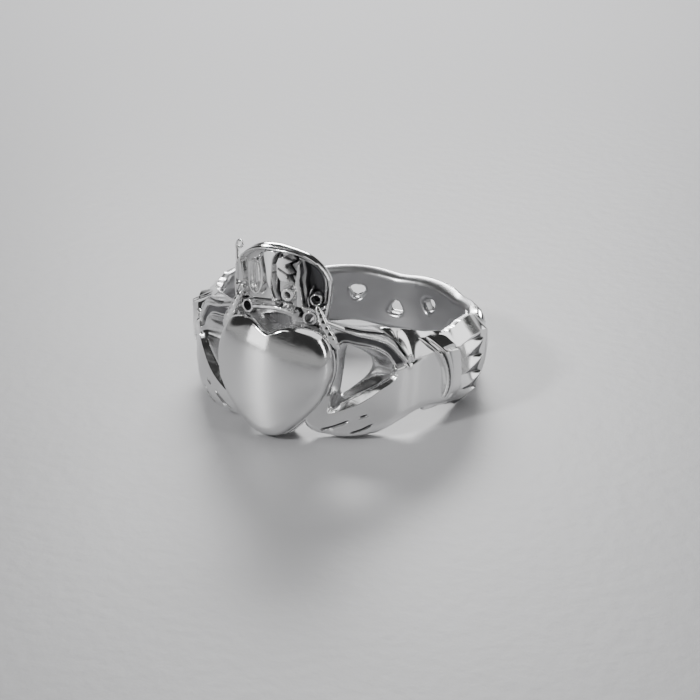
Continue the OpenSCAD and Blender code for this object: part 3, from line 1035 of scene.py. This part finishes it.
def pleats(angle, v):
    """Share of the pleats' rise and their shade; each has a ridge from its lower front to its upper back."""
    count = cuff_mm.pleats
    x = (angle - PLEATS_FROM) / (PLEATS_TO - PLEATS_FROM)
    cell = ((v - PLEAT_MIDDLE + PLEAT_SLOPE * (x - 0.5)) / PLEAT_FIELD + 1) / 2 * count
    b = cell - np.floor(cell)
    within = (x > 0) & (x < 1) & (cell > 0) & (cell < count)
    xs = np.clip(x, 0.001, 0.999)
    flank = np.where(b > xs, (1 - b) / (1 - xs), b / xs)
    ends = smooth(np.minimum(xs, 1 - xs) / 0.06)
    # Painted shade on the facet under each ridge, along each cell's upper edge and at both ends of the field
    shade = np.where(b > xs, smooth((b - 0.93) / 0.07), smooth((1 - b / xs) / 0.25))
    shade = np.maximum(shade, smooth(1 - np.minimum(x, 1 - x) / 0.05))
    return np.where(within, flank * ends, 0), shade


class BuildCuffs(bpy.types.Operator):
    """Builds the pleated cuffs with the double bead along their front edge"""

    bl_idname = "claddagh.cuffs"
    bl_label = "Cuffs"

    def execute(self, context):
        loops, marks = self.section(self.angles()[:, None])
        for name, side in (("cuff_right", 1), ("cuff_left", -1)):
            finish_piece(skin(name, loops * np.array([side, 1, 1]), marks=marks))
        return {"FINISHED"}

    def angles(self):
        """Where the cuff has a section, closest over the beads and the pleats."""
        stops = (CUFF_FRONT, BEADS_TO, PLEATS_FROM - 0.5, PLEATS_TO + 0.5, PLAIT_END)
        rows = zip(stops[:-1], stops[1:], (44, 14, 86, 90))
        return np.concatenate([[CUFF_FRONT], *(np.linspace(*row)[1:] for row in rows)])

    def section(self, a):
        """Loops round the band's wall at these angles, with marks."""
        low, high = band_edges(a)
        v = np.linspace(-1, 1, 150)[None, :]
        z = ring_mm.middle + v * np.where(v > 0, high - ring_mm.middle, ring_mm.middle - low)
        bow = PLEAT_BOW * (1 - (v + 0.4) ** 2) * smooth((PLEATS_TO - a) / 14)
        flank, shade = pleats(a - bow, v)
        from_front = arc(a - CUFF_FRONT)
        grained = 0.88 + 0.12 * np.sin(v * 62)
        beads = line_at(from_front, *GRAINED_BEAD) * grained + line_at(from_front, *PLAIN_BEAD)
        groove = line_at(from_front, *BEAD_GROOVE) + line_at(from_front, *LAST_GROOVE)
        top = band_top(a - bow) + beads - BEAD_GROOVE_DEPTH * groove - fillet(from_front, 0.08) * 2
        turned = smooth((a - TURN_FROM) / (TURN_TO - TURN_FROM))
        chamfer = np.clip((v - BREAK) / (1 - BREAK), 0, 1) * (1 - turned)
        roll = mix(np.abs(v) ** 3, np.abs(v) ** 2.5, turned)
        share = np.where((v > 0) & (a < TURN_TO), mix(chamfer, roll, turned), roll)
        outer = mix(top + flank * 0.95 * cuff_mm.pleat, ring_mm.bore + ring_mm.edge, share)
        field = smooth((a - bow - PLEATS_FROM) * 2) * smooth((PLEAT_SHADE_TO - a) / 1.5)
        field = field * (v < PLEAT_FIELD + PLEAT_MIDDLE)
        front = np.clip((PLEATS_FROM - a) / (PLEATS_FROM - CUFF_FRONT), 0, 1)
        parts = [(a - front * (CUFF_BOW * v * v + CUFF_SLANT * v), outer, z)]
        # Painted shade on the pleats and in the bead grooves, which also dulls the metal there
        dull_and_shade = [np.clip(shade * field + 0.9 * groove * (v < BREAK), 0, 1)]
        inside = [outer * 0]
        # Upper edge, bore wall and lower edge, which take the inside's darker colour as painted shade
        turn = shares(9)[None, :] * math.pi / 2
        rise, sink = RIM_ROUND * (1 - np.sin(turn)), RIM_ROUND * (1 - np.cos(turn))
        up_bend, down_bend = (a - front * (CUFF_BOW + side * CUFF_SLANT) for side in (1, -1))
        step = shares(18)[None, :]
        inner_z = mix(high - RIM_ROUND, low + RIM_ROUND, step)
        for rows in (
            (up_bend, bore_wall(high) + rise, high - sink),
            (mix(up_bend, down_bend, step), bore_wall(inner_z), inner_z),
            (down_bend, bore_wall(low) + sink, low + rise),
        ):
            parts.append(np.broadcast_arrays(*rows))
            dull_and_shade.append(parts[-1][0] * 0)
            inside.append(parts[-1][0] * 0 + 1)
        loops = np.concatenate([place(*part) for part in parts], 1)
        return loops, {"recess": np.concatenate(dull_and_shade, 1), "inside": np.concatenate(inside, 1)}


# The plait's back wall and its strands

# An eye's length and height as shares of its diameter, and how much of a triangle it is
EYE_LONG = 1.12
EYE_TALL = 0.86
EYE_TIP = 0.12
# Share of the strands' swing by which an eye lies off the band's middle
EYE_OFF = 0.3
# Eyes on each side of the middle one
SIDE_EYES = 3
# Hollows along the strands on the inside of the wall
HOLLOW = 0.06
HOLLOW_WIDTH = 0.8
# Steps across a cell and up its side, and rows from its eye to its rim
CELL_ACROSS = 36
CELL_UP = 26
CELL_ROWS = 30
# A strand's half thickness, how far it weaves in and out, where it starts and ends, how deep its ends sink
STRAND_HALF = 0.42
WEAVE = 0.17
STRANDS_FROM = 104
STRANDS_TO = 256
STRAND_SINK = 0.6
STRAND_POINTS = 300


def eye_outline(k, directions):
    """Places round an eye from its middle: a blunt triangle whose tip points away from the band's edge."""
    tip = -math.pi / 2 if k % 2 else math.pi / 2
    reach = plait_mm.eye / 2 * (1 + EYE_TIP * np.cos(3 * (directions - tip)))
    return np.stack([EYE_LONG * np.cos(directions), EYE_TALL * np.sin(directions)], 1) * reach[:, None]


def cell_rim(middle):
    """Places in order round an eye's cell, as rows of (angle, height)."""
    left, right = middle - EYE_STEP / 2, middle + EYE_STEP / 2
    along = np.linspace(left, right, CELL_ACROSS + 1)
    low, high = band_edges(along)

    def side(angle):
        foot, top = (float(height) for height in band_edges(np.array(angle)))
        heights = mix(foot, top, crowded(CELL_UP + 1))
        return np.stack([np.full(CELL_UP + 1, angle), heights], 1)

    lower = np.stack([along[:-1], low[:-1]], 1)
    upper = np.stack([along[:0:-1], high[:0:-1]], 1)
    return np.vstack([lower, side(right)[:-1], upper, side(left)[:0:-1]])


def plait_cell(k):
    """One eye's cell of the back wall: closed rows of (angle, radius, height), and each row's two marks."""
    middle = 180 + k * EYE_STEP
    rim = on_face(cell_rim(middle))
    centre = np.array([arc(middle), ring_mm.middle + swing() * EYE_OFF * (1 if k % 2 else -1)])
    eye = centre + eye_outline(k, np.arctan2(*(rim - centre).T[::-1]))

    def wall(t, outside):
        p = mix(eye, rim, t)
        angle = angle_of(p[:, 0])
        low, high = band_edges(angle)
        from_edge = np.minimum(p[:, 1] - low, high - p[:, 1])
        from_eye = np.hypot(*(p - eye).T)
        if outside:
            radius = strand_floor() - fillet(from_edge, 0.35) - fillet(from_eye, 0.25)
        else:
            turns = [plait_turn(angle) + math.radians(phase) for phase in PHASES]
            strands = [ring_mm.middle + swing() * np.sin(turn) for turn in turns]
            hollow = np.max([bump(p[:, 1] - strand, HOLLOW_WIDTH) for strand in strands], 0)
            hollow = HOLLOW * hollow * smooth(from_edge / 0.6) * smooth(from_eye / 0.6)
            radius = bore_wall(p[:, 1]) + fillet(from_edge, 0.7) + fillet(from_eye, plait_mm.funnel) + hollow
        return np.stack([angle, radius, p[:, 1]], 1)

    way = crowded(CELL_ROWS)
    rows = [wall(t, True) for t in way]
    rows += [mix(wall(1, True), wall(1, False), t) for t in shares(4)[1:-1]]
    rows += [wall(t, False) for t in way[::-1]]
    rows += [mix(wall(0, False), wall(0, True), t) for t in shares(5)[1:-1]]
    # Marks of the outer face, the joint between cells, the inner face and the eye's wall: painted shade on
    # the outer face under the strands and on the eye's wall, and the inside's darker colour as painted shade
    # on the inner face and the eye's wall
    counts = (CELL_ROWS, 2, CELL_ROWS, 3)
    return np.array(rows), np.repeat((0.75, 0, 0, 0.4), counts), np.repeat((0, 0, 1, 0.6), counts)


def strand_nodes():
    """Flattened strands that swing between the band's edges and pass over and under each other."""
    inputs = [("Metal", "Material"), ("Strands", "Int")]
    for name in ("Radius", "Swing", "Half width", "Half thickness", "Weave", "Sink", "From", "To", "Lean"):
        inputs.append((name, "Float"))
    tree, net, given = node_group("plait_strands", inputs, "Plait")

    def size(name):
        return Num(net, given[name])

    line = net.out("GeometryNodeCurvePrimitiveLine", inputs={"End": (1, 0, 0)})
    points = net.out("GeometryNodeResampleCurve", inputs={"Curve": line, "Count": STRAND_POINTS})
    wanted = {"Geometry": points, "Amount": given["Strands"]}
    copies = net.node("GeometryNodeDuplicateElements", {"domain": "SPLINE"}, wanted)
    index = Num(net, copies.outputs["Duplicate Index"])
    share = net.out("GeometryNodeSplineParameter", name="Factor")
    angle = size("From") + (size("To") - size("From")) * share
    turn = (angle - math.pi) * (60 / EYE_STEP) + index * (2 * math.pi / 3) + math.radians(PHASES[0])
    height = size("Swing") * net.math("SINE", turn)
    sunk = net.math("MAXIMUM", 1 - net.math("MINIMUM", share, 1 - share) * 22, 0)
    radius = size("Radius") + size("Weave") * net.math("SINE", turn * 2) - sunk * sunk * size("Sink")
    out_x, out_y = net.math("SINE", angle), net.math("COSINE", angle) * -1
    cos_lean, sin_lean = net.math("COSINE", size("Lean")), net.math("SINE", size("Lean"))

    def leaned(x, y, z):
        """A vector of the upright ring as the ring rests."""
        return net.vector(x, y * cos_lean + z * sin_lean, z * cos_lean - y * sin_lean)

    placed = {"Geometry": copies.outputs[0], "Position": leaned(radius * out_x, radius * out_y, height)}
    moved = net.out("GeometryNodeSetPosition", inputs=placed)
    faced = {"Curve": moved, "Normal": leaned(out_x, out_y, out_x * 0)}
    path = net.out("GeometryNodeSetCurveNormal", {"mode": "FREE"}, faced)
    stretch = net.vector(size("Half thickness"), size("Half width"), 1.0)
    oval = net.out("GeometryNodeTransform", inputs={"Geometry": circle(net, 30), "Scale": stretch})
    sweep(net, path, oval, 1.0, given["Metal"])
    return tree


class BuildPlait(bpy.types.Operator):
    """Builds the back wall with its soft-rimmed eyes and the three strands that cross outside it"""

    bl_idname = "claddagh.plait"
    bl_label = "Plait"

    def execute(self, context):
        self.wall()
        self.strands()
        return {"FINISHED"}

    def wall(self):
        """Eye cells side by side; the walls between neighbours are taken out."""
        points, faces, recess, inside = [], [], [], []
        for k in range(-SIDE_EYES, SIDE_EYES + 1):
            rows, dull_and_shade, satin = plait_cell(k)
            n, m = rows.shape[:2]
            faces += (quads(n, m, True) + len(points) * n * m).tolist()
            points.append(place(*rows.reshape(-1, 3).T))
            recess.append(np.repeat(dull_and_shade, m))
            inside.append(np.repeat(satin, m))
        marks = {"recess": np.concatenate(recess), "inside": np.concatenate(inside)}
        obj = mesh_object("back_wall", np.vstack(points), faces, marks=marks)
        made = bmesh.new()
        made.from_mesh(obj.data)
        bmesh.ops.remove_doubles(made, verts=made.verts, dist=DOUBLE)
        seen = {}
        for face in made.faces:
            seen.setdefault(frozenset(v.index for v in face.verts), []).append(face)
        twice = [face for same in seen.values() if len(same) > 1 for face in same]
        bmesh.ops.delete(made, geom=twice, context="FACES")
        made.to_mesh(obj.data)
        made.free()
        finish_piece(tidy(obj))

    def strands(self):
        values = {
            "Metal": silver(),
            "Strands": plait_mm.strands,
            "Radius": (ring_mm.bore + plait_mm.thick - WEAVE - STRAND_HALF) * MM,
            "Swing": swing() * MM,
            "Half width": plait_mm.strand / 2 * MM,
            "Half thickness": STRAND_HALF * MM,
            "Weave": WEAVE * MM,
            "Sink": STRAND_SINK * MM,
            "From": math.radians(STRANDS_FROM),
            "To": math.radians(STRANDS_TO),
            "Lean": ring_mm.lean,
        }
        finish_piece(run_nodes(mesh_object("plait_strands"), strand_nodes(), values))


# Crown, in degrees from its middle and millimetres above the heart's tip

# Raised and sunk patches: level against the face, width of the soft edge, outline as rows of (angle, height)
CROWN_PATCHES = [
    (-0.85, 0.4, [(9.2, 13.75), (12.1, 13.62), (15.4, 13.3), (17.9, 12.6), (18.6, 11.8), (18.0, 10.8),
                  (16.4, 10.3), (11.2, 10.3), (10.5, 11.3), (9.8, 12.1), (10.1, 12.9)]),
    (-0.34, 0.2, [(-12.0, 12.8), (-11.2, 12.0), (-10.4, 11.2), (-8.3, 11.05), (-7.7, 11.7), (-8.1, 12.6),
                  (-9.6, 12.95)]),
    (0.2, 0.22, [(-19.4, 12.8), (-19.1, 12.0), (-18.5, 11.0), (-18.0, 10.1), (-14.4, 10.1), (-15.0, 11.0),
                 (-15.5, 12.0), (-17.0, 13.1)]),
    (0.28, 0.22, [(-7.0, 14.0), (-5.9, 12.8), (-4.7, 11.65), (-3.0, 11.0), (-2.4, 10.3), (0.4, 10.3),
                  (-1.2, 11.1), (-1.6, 11.8), (-1.4, 12.5), (-1.3, 13.5), (0.2, 14.2), (-3.5, 14.4)]),
    (0.3, 0.16, [(7.6, 13.65), (7.1, 12.8), (6.8, 12.1), (7.7, 11.3), (7.9, 10.3), (10.8, 10.3),
                 (10.2, 11.4), (9.5, 12.2), (9.8, 12.9), (8.7, 13.75)]),
    (0.32, 0.07, [(-0.7, 13.4), (0.2, 13.85), (2.2, 13.95), (6.6, 13.72), (3.1, 13.3), (7.0, 12.62),
                  (3.6, 12.72), (5.2, 12.05), (1.3, 12.06), (-0.2, 12.46)]),
    (-0.9, 0.07, [(6.4, 10.1), (8.8, 10.1), (10.3, 9.76), (9.6, 9.3), (8.1, 9.34), (8.5, 9.66), (7.6, 9.9)]),
]
# Outline of the recess below the crown's base
CROWN_RECESS = [(-8.8, 8.6), (-8.6, 9.0), (-5, 9.2), (-1, 9.4), (3, 9.38), (5.4, 9.26), (5.6, 8.6)]
# Raised bands: rise, half width, rows of (angle, height)
CROWN_BANDS = [
    (0.24, 0.19, [(-12.8, 13.0), (-12.6, 12.0), (-11.8, 11.1), (-9.4, 10.7), (-7.2, 11.1), (-6.7, 12.0),
                  (-7.2, 13.0), (-8.3, 13.6)]),
    (0.08, 0.18, [(-10.3, 12.9), (-9.6, 12.2), (-9.4, 11.5)]),
    (0.32, 0.36, [(-19.5, 9.35), (-14, 9.5), (-8.3, 9.74), (-2, 9.92), (3, 9.95), (5.8, 9.85)]),
    (0.2, 0.22, [(10.6, 10.25), (13, 10.22), (16, 10.1), (18.8, 10.5)]),
    (0.0, 0.12, [(13.4, 11.75), (12.7, 11.3), (12.1, 10.9), (12.6, 10.45)]),
]
# Cut lines: depth, half width, rows of (angle, height)
CROWN_CUTS = [
    (0.3, 0.07, [(0.2, 13.92), (-0.8, 13.5), (-0.4, 13.1)]),
    (0.5, 0.12, [(5.7, 13.97), (7.1, 13.72), (3.5, 13.3), (7.3, 12.5), (4.0, 12.62), (5.9, 11.95)]),
    (0.35, 0.08, [(0.6, 13.0), (3.3, 12.75)]),
    (0.6, 0.14, [(-0.3, 12.35), (-0.9, 11.8), (-0.8, 11.1), (0.6, 10.6)]),
    (0.45, 0.1, [(-11.3, 13.1), (-9.2, 13.65)]),
    (0.45, 0.1, [(-14.9, 12.3), (-13.6, 11.4), (-13.0, 10.7)]),
    (0.2, 0.08, [(-7.6, 13.9), (-6.3, 12.8), (-5.2, 11.65), (-3.3, 11.0)]),
    (0.3, 0.08, [(-18.5, 9.85), (-7.2, 10.2), (1.0, 10.4), (5.5, 10.3)]),
    (0.4, 0.1, [(2.2, 14.2), (4.8, 14.12), (7.5, 13.95), (11.5, 13.84), (15.1, 13.6), (17.4, 13.15),
                (18.8, 12.6), (19.6, 11.9), (19.4, 10.9)]),
]
# Rings: angle, height, radius of the ring, half width of its line, rise, level inside; then the hole's
# radius and how far it sits off the middle
CROWN_RINGS = [
    (4.4, 11.12, 0.36, 0.34, 0.32, -0.1, 0.19, 0.12),
    (15.2, 10.98, 0.4, 0.13, 0.12, -0.7, 0.1, 0.0),
    (-16.6, 10.75, 0.3, 0.16, 0.26, -0.1, 0.1, 0.0),
]
# Middle line of the curl on the crown's corner: angle, height
CURL = [
    (-19.7, 12.6), (-20.1, 12.95), (-20.4, 13.4), (-20.8, 13.9), (-19.8, 14.22), (-18.2, 14.26),
    (-17.4, 14.02), (-18.4, 13.78), (-19.6, 13.74),
]
# The curl's thickness at its tip, what its foot has more, and its depth below the face
CURL_THICK = 0.085
CURL_FOOT = 0.09
CURL_DEPTH = 0.3
# The pierced holes' places, as shares of the crown's half width and of its height
PIERCED_ACROSS = 0.64
PIERCED_UP = 0.11
# Radii that the drills of the pierced holes reach from and to
DRILL = (8.5, 13.0)
# Share of the full width that the crown has at its base, and where it is full
FOOT_WIDTH = 0.92
FULL_WIDTH_AT = 0.6
# Painted shade in the recess below the crown's base and on the plate behind the cleft, dulled like tarnish
RECESS_DULL_SHADE = 0.6
# Corners softer than this are drawn as curves
SOFT_CORNER = 0.15


def crown_top(c):
    return crown_mm.base + crown_mm.shoulder + crown_mm.arch * np.clip(1 - np.abs(c) ** 3, 0, 1) ** 0.8


def crown_half(t):
    """Half width at a share t of the height."""
    return crown_mm.width / 2 * mix(FOOT_WIDTH, 1, smooth(t / FULL_WIDTH_AT))


def crown_outline():
    """The crown's edge from its lower left corner over the top to its lower right corner."""
    t, c = shares(24), np.linspace(-1, 1, 90)
    left = np.stack([-crown_half(t), mix(crown_mm.base, crown_top(1.0), t)], 1)
    top = np.stack([c * crown_half(1), crown_top(c)], 1)
    return np.vstack([left[:-1], top, (left * [-1, 1])[-2::-1]])


def patch(s, z, rows, soft):
    """1 well within an outline of (angle, height) rows, eased to 0 at its edge."""
    line = on_face(rows)
    line = curve(line, 4, closed=True) if soft > SOFT_CORNER else line
    line = np.vstack([line, line[:1]])
    odd = np.zeros(np.broadcast(s, z).shape, bool)
    for (s0, z0), (s1, z1) in zip(line[:-1], line[1:]):
        odd ^= ((z0 > z) != (z1 > z)) & (s < s0 + (z - z0) * (s1 - s0) / (z1 - z0 or 1))
    return np.where(odd, smooth(distance(s, z, line) / soft), 0)


def pierced_at():
    """Arc and height of the right one of the two pierced holes."""
    tall = crown_mm.shoulder + crown_mm.arch
    return PIERCED_ACROSS * crown_mm.width / 2, crown_mm.base + PIERCED_UP * tall


def strokes(s, z):
    """Fine upright strokes left in the recess."""
    return 0.02 * np.sin(s * 21 + z * 2) * np.sin(s * 5 - z)


def crown_relief(s, z, from_edge):
    """Rise of the crown's figures above its face, before anything is cut into them."""
    rise = -0.8 * crown_mm.panel * smooth((from_edge - 0.2) / 0.25)
    for high, soft, rows in CROWN_PATCHES:
        rise = mix(rise, high, patch(s, z, rows, soft))
    for high, half, rows in CROWN_BANDS:
        rise = np.maximum(rise, mix(rise, high, drawn(s, z, rows, half, 8)))
    for angle, height, radius, half, high, low, dot, aside in CROWN_RINGS:
        far = np.hypot(s - arc(angle), z - height)
        rise = mix(rise, np.minimum(rise, low), smooth((radius + half + 0.08 - far) / 0.08))
        rise = mix(rise, high, cord(np.abs(far - radius), half))
        off = np.hypot(s - arc(angle) - aside, z - height + aside / 2)
        rise = mix(rise, low - 0.5, smooth((dot - off) / 0.08))
    rim = line_at(from_edge, 0.16, 0.16, 0.2)
    return mix(rise, np.maximum(rise, rim), smooth((0.34 - from_edge) / 0.1))


def crown_face(s, z):
    """Radius of the crown's face at places on it, how dark it is painted there as shade in its deep panels,
    cut lines and recess, and where its recess lies.
    """
    from_edge = distance(s, z, crown_outline())
    rise = crown_relief(s, z, from_edge)
    carved = 0 * rise
    for deep, half, rows in CROWN_CUTS:
        line = drawn(s, z, rows, half)
        rise = rise - deep * line
        carved = np.maximum(carved, line)
    hole_s, hole_z = pierced_at()
    far = np.hypot(np.abs(s) - hole_s, z - hole_z)
    rise = mix(rise, 0.12, smooth((crown_mm.pierced / 2 + 0.26 - far) / 0.12))
    uneven = np.sin(s * 7 + z * 3) * np.sin(z * 6 - s * 4)
    rise = rise + 0.015 * uneven * smooth((10.4 - z) / 0.4) * (rise > 0)
    # Painted shade in the deep panels and the cut lines, which also dulls the metal there
    dull_and_shade = np.maximum(smooth((-rise - 0.22) / 0.3), 0.9 * carved)
    low = patch(s, z, CROWN_RECESS, 0.1)
    rise = mix(rise, crown_mm.root_thick - crown_mm.thick + strokes(s, z), low)
    return ring_mm.bore + crown_mm.thick + rise - fillet(from_edge, 0.2), mix(dull_and_shade, RECESS_DULL_SHADE, low), low


class BuildCrown(bpy.types.Operator):
    """Builds the arched crown with its pillars, rings and pierced foot, and the curl on its corner"""

    bl_idname = "claddagh.crown"
    bl_label = "Crown"

    def execute(self, context):
        crown = self.body()
        self.pierce(crown)
        self.dull_and_shade_holes(crown.data)
        finish_piece(tidy(crown, 60))
        self.curl()
        return {"FINISHED"}

    def body(self):
        """The crown's face and back as one closed skin."""
        c = np.linspace(-1, 1, 320)[:, None]
        z = mix(crown_mm.base, crown_top(c), shares(200))
        s = c * crown_half(shares(200))
        face, dull_and_shade, satin = crown_face(s, z)
        # The plate behind the cleft, below the crown, with fine strokes
        root_z = mix(crown_mm.base - crown_mm.root, crown_mm.base, shares(14)) + 0 * c
        root_s = c * crown_half(0) + 0 * root_z
        root_face = ring_mm.bore + crown_mm.root_thick + strokes(root_s, root_z)
        # The rounded top, which falls away to the back on the right, then the back from the top down
        over = shares(14)[1:-1]
        back_top = crown_top(c) - mix(0.08, 0.55, smooth((c + 0.1) / 0.6))
        over_z = mix(crown_top(c), back_top, over**1.5) + 0.14 * np.sin(over * math.pi)
        back_z = mix(back_top, crown_mm.base - crown_mm.root, shares(24))
        back_s = c * crown_half(np.clip((back_z - crown_mm.base) / (crown_top(c) - crown_mm.base), 0, 1))
        back = bore_wall(back_z) + 0.03 + fillet(back_top - back_z, 0.3)
        over_face = mix(face[:, -1:], back[:, :1], over)
        s_all = np.concatenate([root_s, s, crown_half(1) * c + 0 * over, back_s], 1)
        z_all = np.concatenate([root_z, z, over_z, back_z], 1)
        r_all = np.concatenate([root_face, face, over_face, back], 1)
        # Painted shade on the plate behind the cleft; the plate, the recess and the back take the inside's
        # darker colour as painted shade
        marks = {
            "recess": np.concatenate([root_face * 0 + RECESS_DULL_SHADE, dull_and_shade, over_face * 0, back * 0], 1),
            "inside": np.concatenate([root_face * 0 + 1, satin, over_face * 0, back * 0 + 0.8], 1),
        }
        return skin("crown", place(angle_of(s_all), r_all, z_all), marks=marks)

    def pierce(self, crown):
        """Cuts the two round holes at the crown's foot right through."""
        hole, height = pierced_at()
        radius = crown_mm.pierced / 2
        turn = np.linspace(0, 2 * math.pi, 48, endpoint=False)
        drills = bmesh.new()
        for side in (-1, 1):
            angle = angle_of(side * hole + radius * np.cos(turn))
            rows = [place(angle, end, height + radius * np.sin(turn)) for end in DRILL]
            drill = skin("drill", np.array(rows))
            drills.from_mesh(drill.data)
            bpy.data.objects.remove(drill)
        cutter = mesh_object("cutter")
        drills.to_mesh(cutter.data)
        drills.free()
        cut = crown.modifiers.new("pierce", "BOOLEAN")
        cut.operation, cut.solver, cut.object = "DIFFERENCE", "EXACT", cutter
        applied(crown)
        bpy.data.objects.remove(cutter)

    def dull_and_shade_holes(self, mesh):
        """Paints shade on the walls of the pierced holes and dulls them."""
        hole, height = pierced_at()
        x, y, z = np.array([v.co for v in mesh.vertices]).T / MM
        c, s = math.cos(ring_mm.lean), math.sin(ring_mm.lean)
        up = z * c + y * s + ring_mm.middle
        along = arc(np.degrees(np.arctan2(x, z * s - y * c)))
        near = np.hypot(np.abs(along) - hole, up - height) < crown_mm.pierced / 2 + 0.02
        marks = np.zeros(len(x), np.float32)
        mesh.attributes["recess"].data.foreach_get("value", marks)
        mesh.attributes["recess"].data.foreach_set("value", np.where(near, 1, marks))

    def curl(self):
        """A wire curl on the left corner, thickest at its foot."""
        rows = curve(CURL, 10)
        thick = CURL_THICK + CURL_FOOT * (1 - shares(len(rows))) ** 4
        wires("crown_curl", [wire_rows(rows[:, 0], face_radius() - CURL_DEPTH, rows[:, 1], thick)])


# Stage

# Half the floor's side in metres, its roughness and its grain
FLOOR_REACH = 2.5
FLOOR_ROUGHNESS = 0.45
FLOOR_GRAIN = {"Scale": 900.0, "Detail": 3.0}
# Studio round the floor: height of the direction, grey there
SKY = [(0.0, 0.36), (0.1, 0.36), (0.22, 0.03), (1.0, 0.03)]
# Soft lights: name, place in metres, width, height, power in watts
LIGHTS = (
    ("back", (-0.07, 0.14, 0.09), 0.1, 0.04, 0.33),
    ("overhead", (0.1, 0.03, 0.21), 0.17, 0.17, 0.11),
    ("right", (0.2, -0.03, 0.1), 0.03, 0.14, 0.08),
    ("back_right", (0.15, 0.15, 0.09), 0.12, 0.15, 0.11),
    ("front_left", (-0.15, -0.22, 0.04), 0.1, 0.065, 0.04),
    ("front_top", (-0.065, -0.135, 0.15), 0.13, 0.065, 0.034),
)
# Key light: place, power, how many degrees wide it looks
KEY_PLACE = (-0.075, -0.13, 0.105)
KEY_POWER = 2.2
KEY_WIDTH = 9
# Pixels of a square picture, pixels that one millimetre takes at the ring's foot, and the foot's place in it
PICTURE = 700
PIXELS_A_MM = 12.5
FOOT_X = 340.28
FOOT_Y = 388.68
SENSOR = 36


class BuildStage(bpy.types.Operator):
    """Lays the pale floor, and sets the soft light and the camera"""

    bl_idname = "claddagh.stage"
    bl_label = "Stage"

    def execute(self, context):
        self.floor()
        self.lights()
        self.world()
        self.camera()
        return {"FINISHED"}

    def floor(self):
        low = SOLID_BOX[0][2]
        corners = [(x * FLOOR_REACH, y * FLOOR_REACH, low) for x, y in ((-1, -1), (1, -1), (1, 1), (-1, 1))]
        obj = mesh_object("floor", np.array(corners), [(0, 1, 2, 3)])
        material = bpy.data.materials.new("pale_floor")
        material.use_nodes = True
        net = Net(material.node_tree)
        where = net.out("ShaderNodeTexCoord", name="Object")
        grain = net.out("ShaderNodeTexNoise", inputs={"Vector": where, **FLOOR_GRAIN})
        rise = net.out("ShaderNodeBump", inputs={"Strength": 0.12, "Distance": 0.0003, "Height": grain})
        colour = (*bpy.context.scene.stage_look.floor, 1)
        paint = {"Base Color": colour, "Roughness": FLOOR_ROUGHNESS, "Normal": rise}
        surface = net.out("ShaderNodeBsdfPrincipled", inputs=paint)
        net.node("ShaderNodeOutputMaterial", inputs={"Surface": surface})
        obj.data.materials.append(material)

    def lights(self):
        for name, where, width, height, power in LIGHTS:
            light = bpy.data.lights.new(name, "AREA")
            light.shape, light.size, light.size_y, light.energy = "RECTANGLE", width, height, power
            self.hang(light, where)
        key = bpy.data.lights.new("key", "SUN")
        key.energy, key.angle = KEY_POWER, math.radians(KEY_WIDTH)
        self.hang(key, KEY_PLACE)

    def hang(self, light, where):
        """Hangs a light at a place and turns it to the ring."""
        obj = put(light.name, light)
        obj.location = where
        obj.rotation_euler = (-Vector(where)).to_track_quat("-Z", "Y").to_euler()

    def world(self):
        world = bpy.data.worlds.new("studio")
        world.use_nodes = True
        bpy.context.scene.world = world
        net = Net(world.node_tree)
        way = net.out("ShaderNodeTexCoord", name="Generated")
        height = net.out("ShaderNodeSeparateXYZ", inputs={0: way}, name="Z")
        sky = net.out("ShaderNodeValToRGB", {"stops": SKY}, {"Fac": height})
        back = net.out("ShaderNodeBackground", inputs={"Color": sky, "Strength": 1.0})
        net.node("ShaderNodeOutputWorld", inputs={"Surface": back})

    def camera(self):
        view = bpy.context.scene.stage_look
        foot = Vector((0, -math.sin(ring_mm.lean), -math.cos(ring_mm.lean))) * ring_mm.middle * MM
        a, e = view.azimuth, view.elevation
        back = Vector((math.sin(a) * math.cos(e), -math.cos(a) * math.cos(e), math.sin(e)))
        camera = bpy.data.cameras.new("camera")
        camera.sensor_width = SENSOR
        camera.lens = PIXELS_A_MM * view.distance / MM / PICTURE * SENSOR
        camera.shift_x = (PICTURE / 2 - FOOT_X) / PICTURE
        camera.shift_y = (FOOT_Y - PICTURE / 2) / PICTURE
        camera.clip_start = 0.01
        obj = put("camera", camera)
        obj.location = foot + back * view.distance
        obj.rotation_euler = (-back).to_track_quat("-Z", "Y").to_euler()
        bpy.context.scene.camera = obj


OPERATORS = (BuildStage, BuildHeart, BuildHands, BuildCuffs, BuildPlait, BuildCrown)


class RingPanel(bpy.types.Panel):
    """Lists the steps that dress the ring"""

    bl_idname = "VIEW3D_PT_claddagh"
    bl_label = "Claddagh ring"
    bl_space_type = "VIEW_3D"
    bl_region_type = "UI"
    bl_category = "Ring"

    def draw(self, context):
        for operator in OPERATORS:
            self.layout.operator(operator.bl_idname)


def register():
    for name, group in GROUPS.items():
        bpy.utils.register_class(group)
        setattr(bpy.types.Scene, name, PointerProperty(type=group))
    for cls in (*OPERATORS, RingPanel):
        bpy.utils.register_class(cls)


def unregister():
    for cls in (RingPanel, *reversed(OPERATORS)):
        bpy.utils.unregister_class(cls)
    for name, group in GROUPS.items():
        delattr(bpy.types.Scene, name)
        bpy.utils.unregister_class(group)


def main():
    register()
    for operator in OPERATORS:
        group, name = operator.bl_idname.split(".")
        getattr(getattr(bpy.ops, group), name)()


if __name__ == "__main__":
    main()
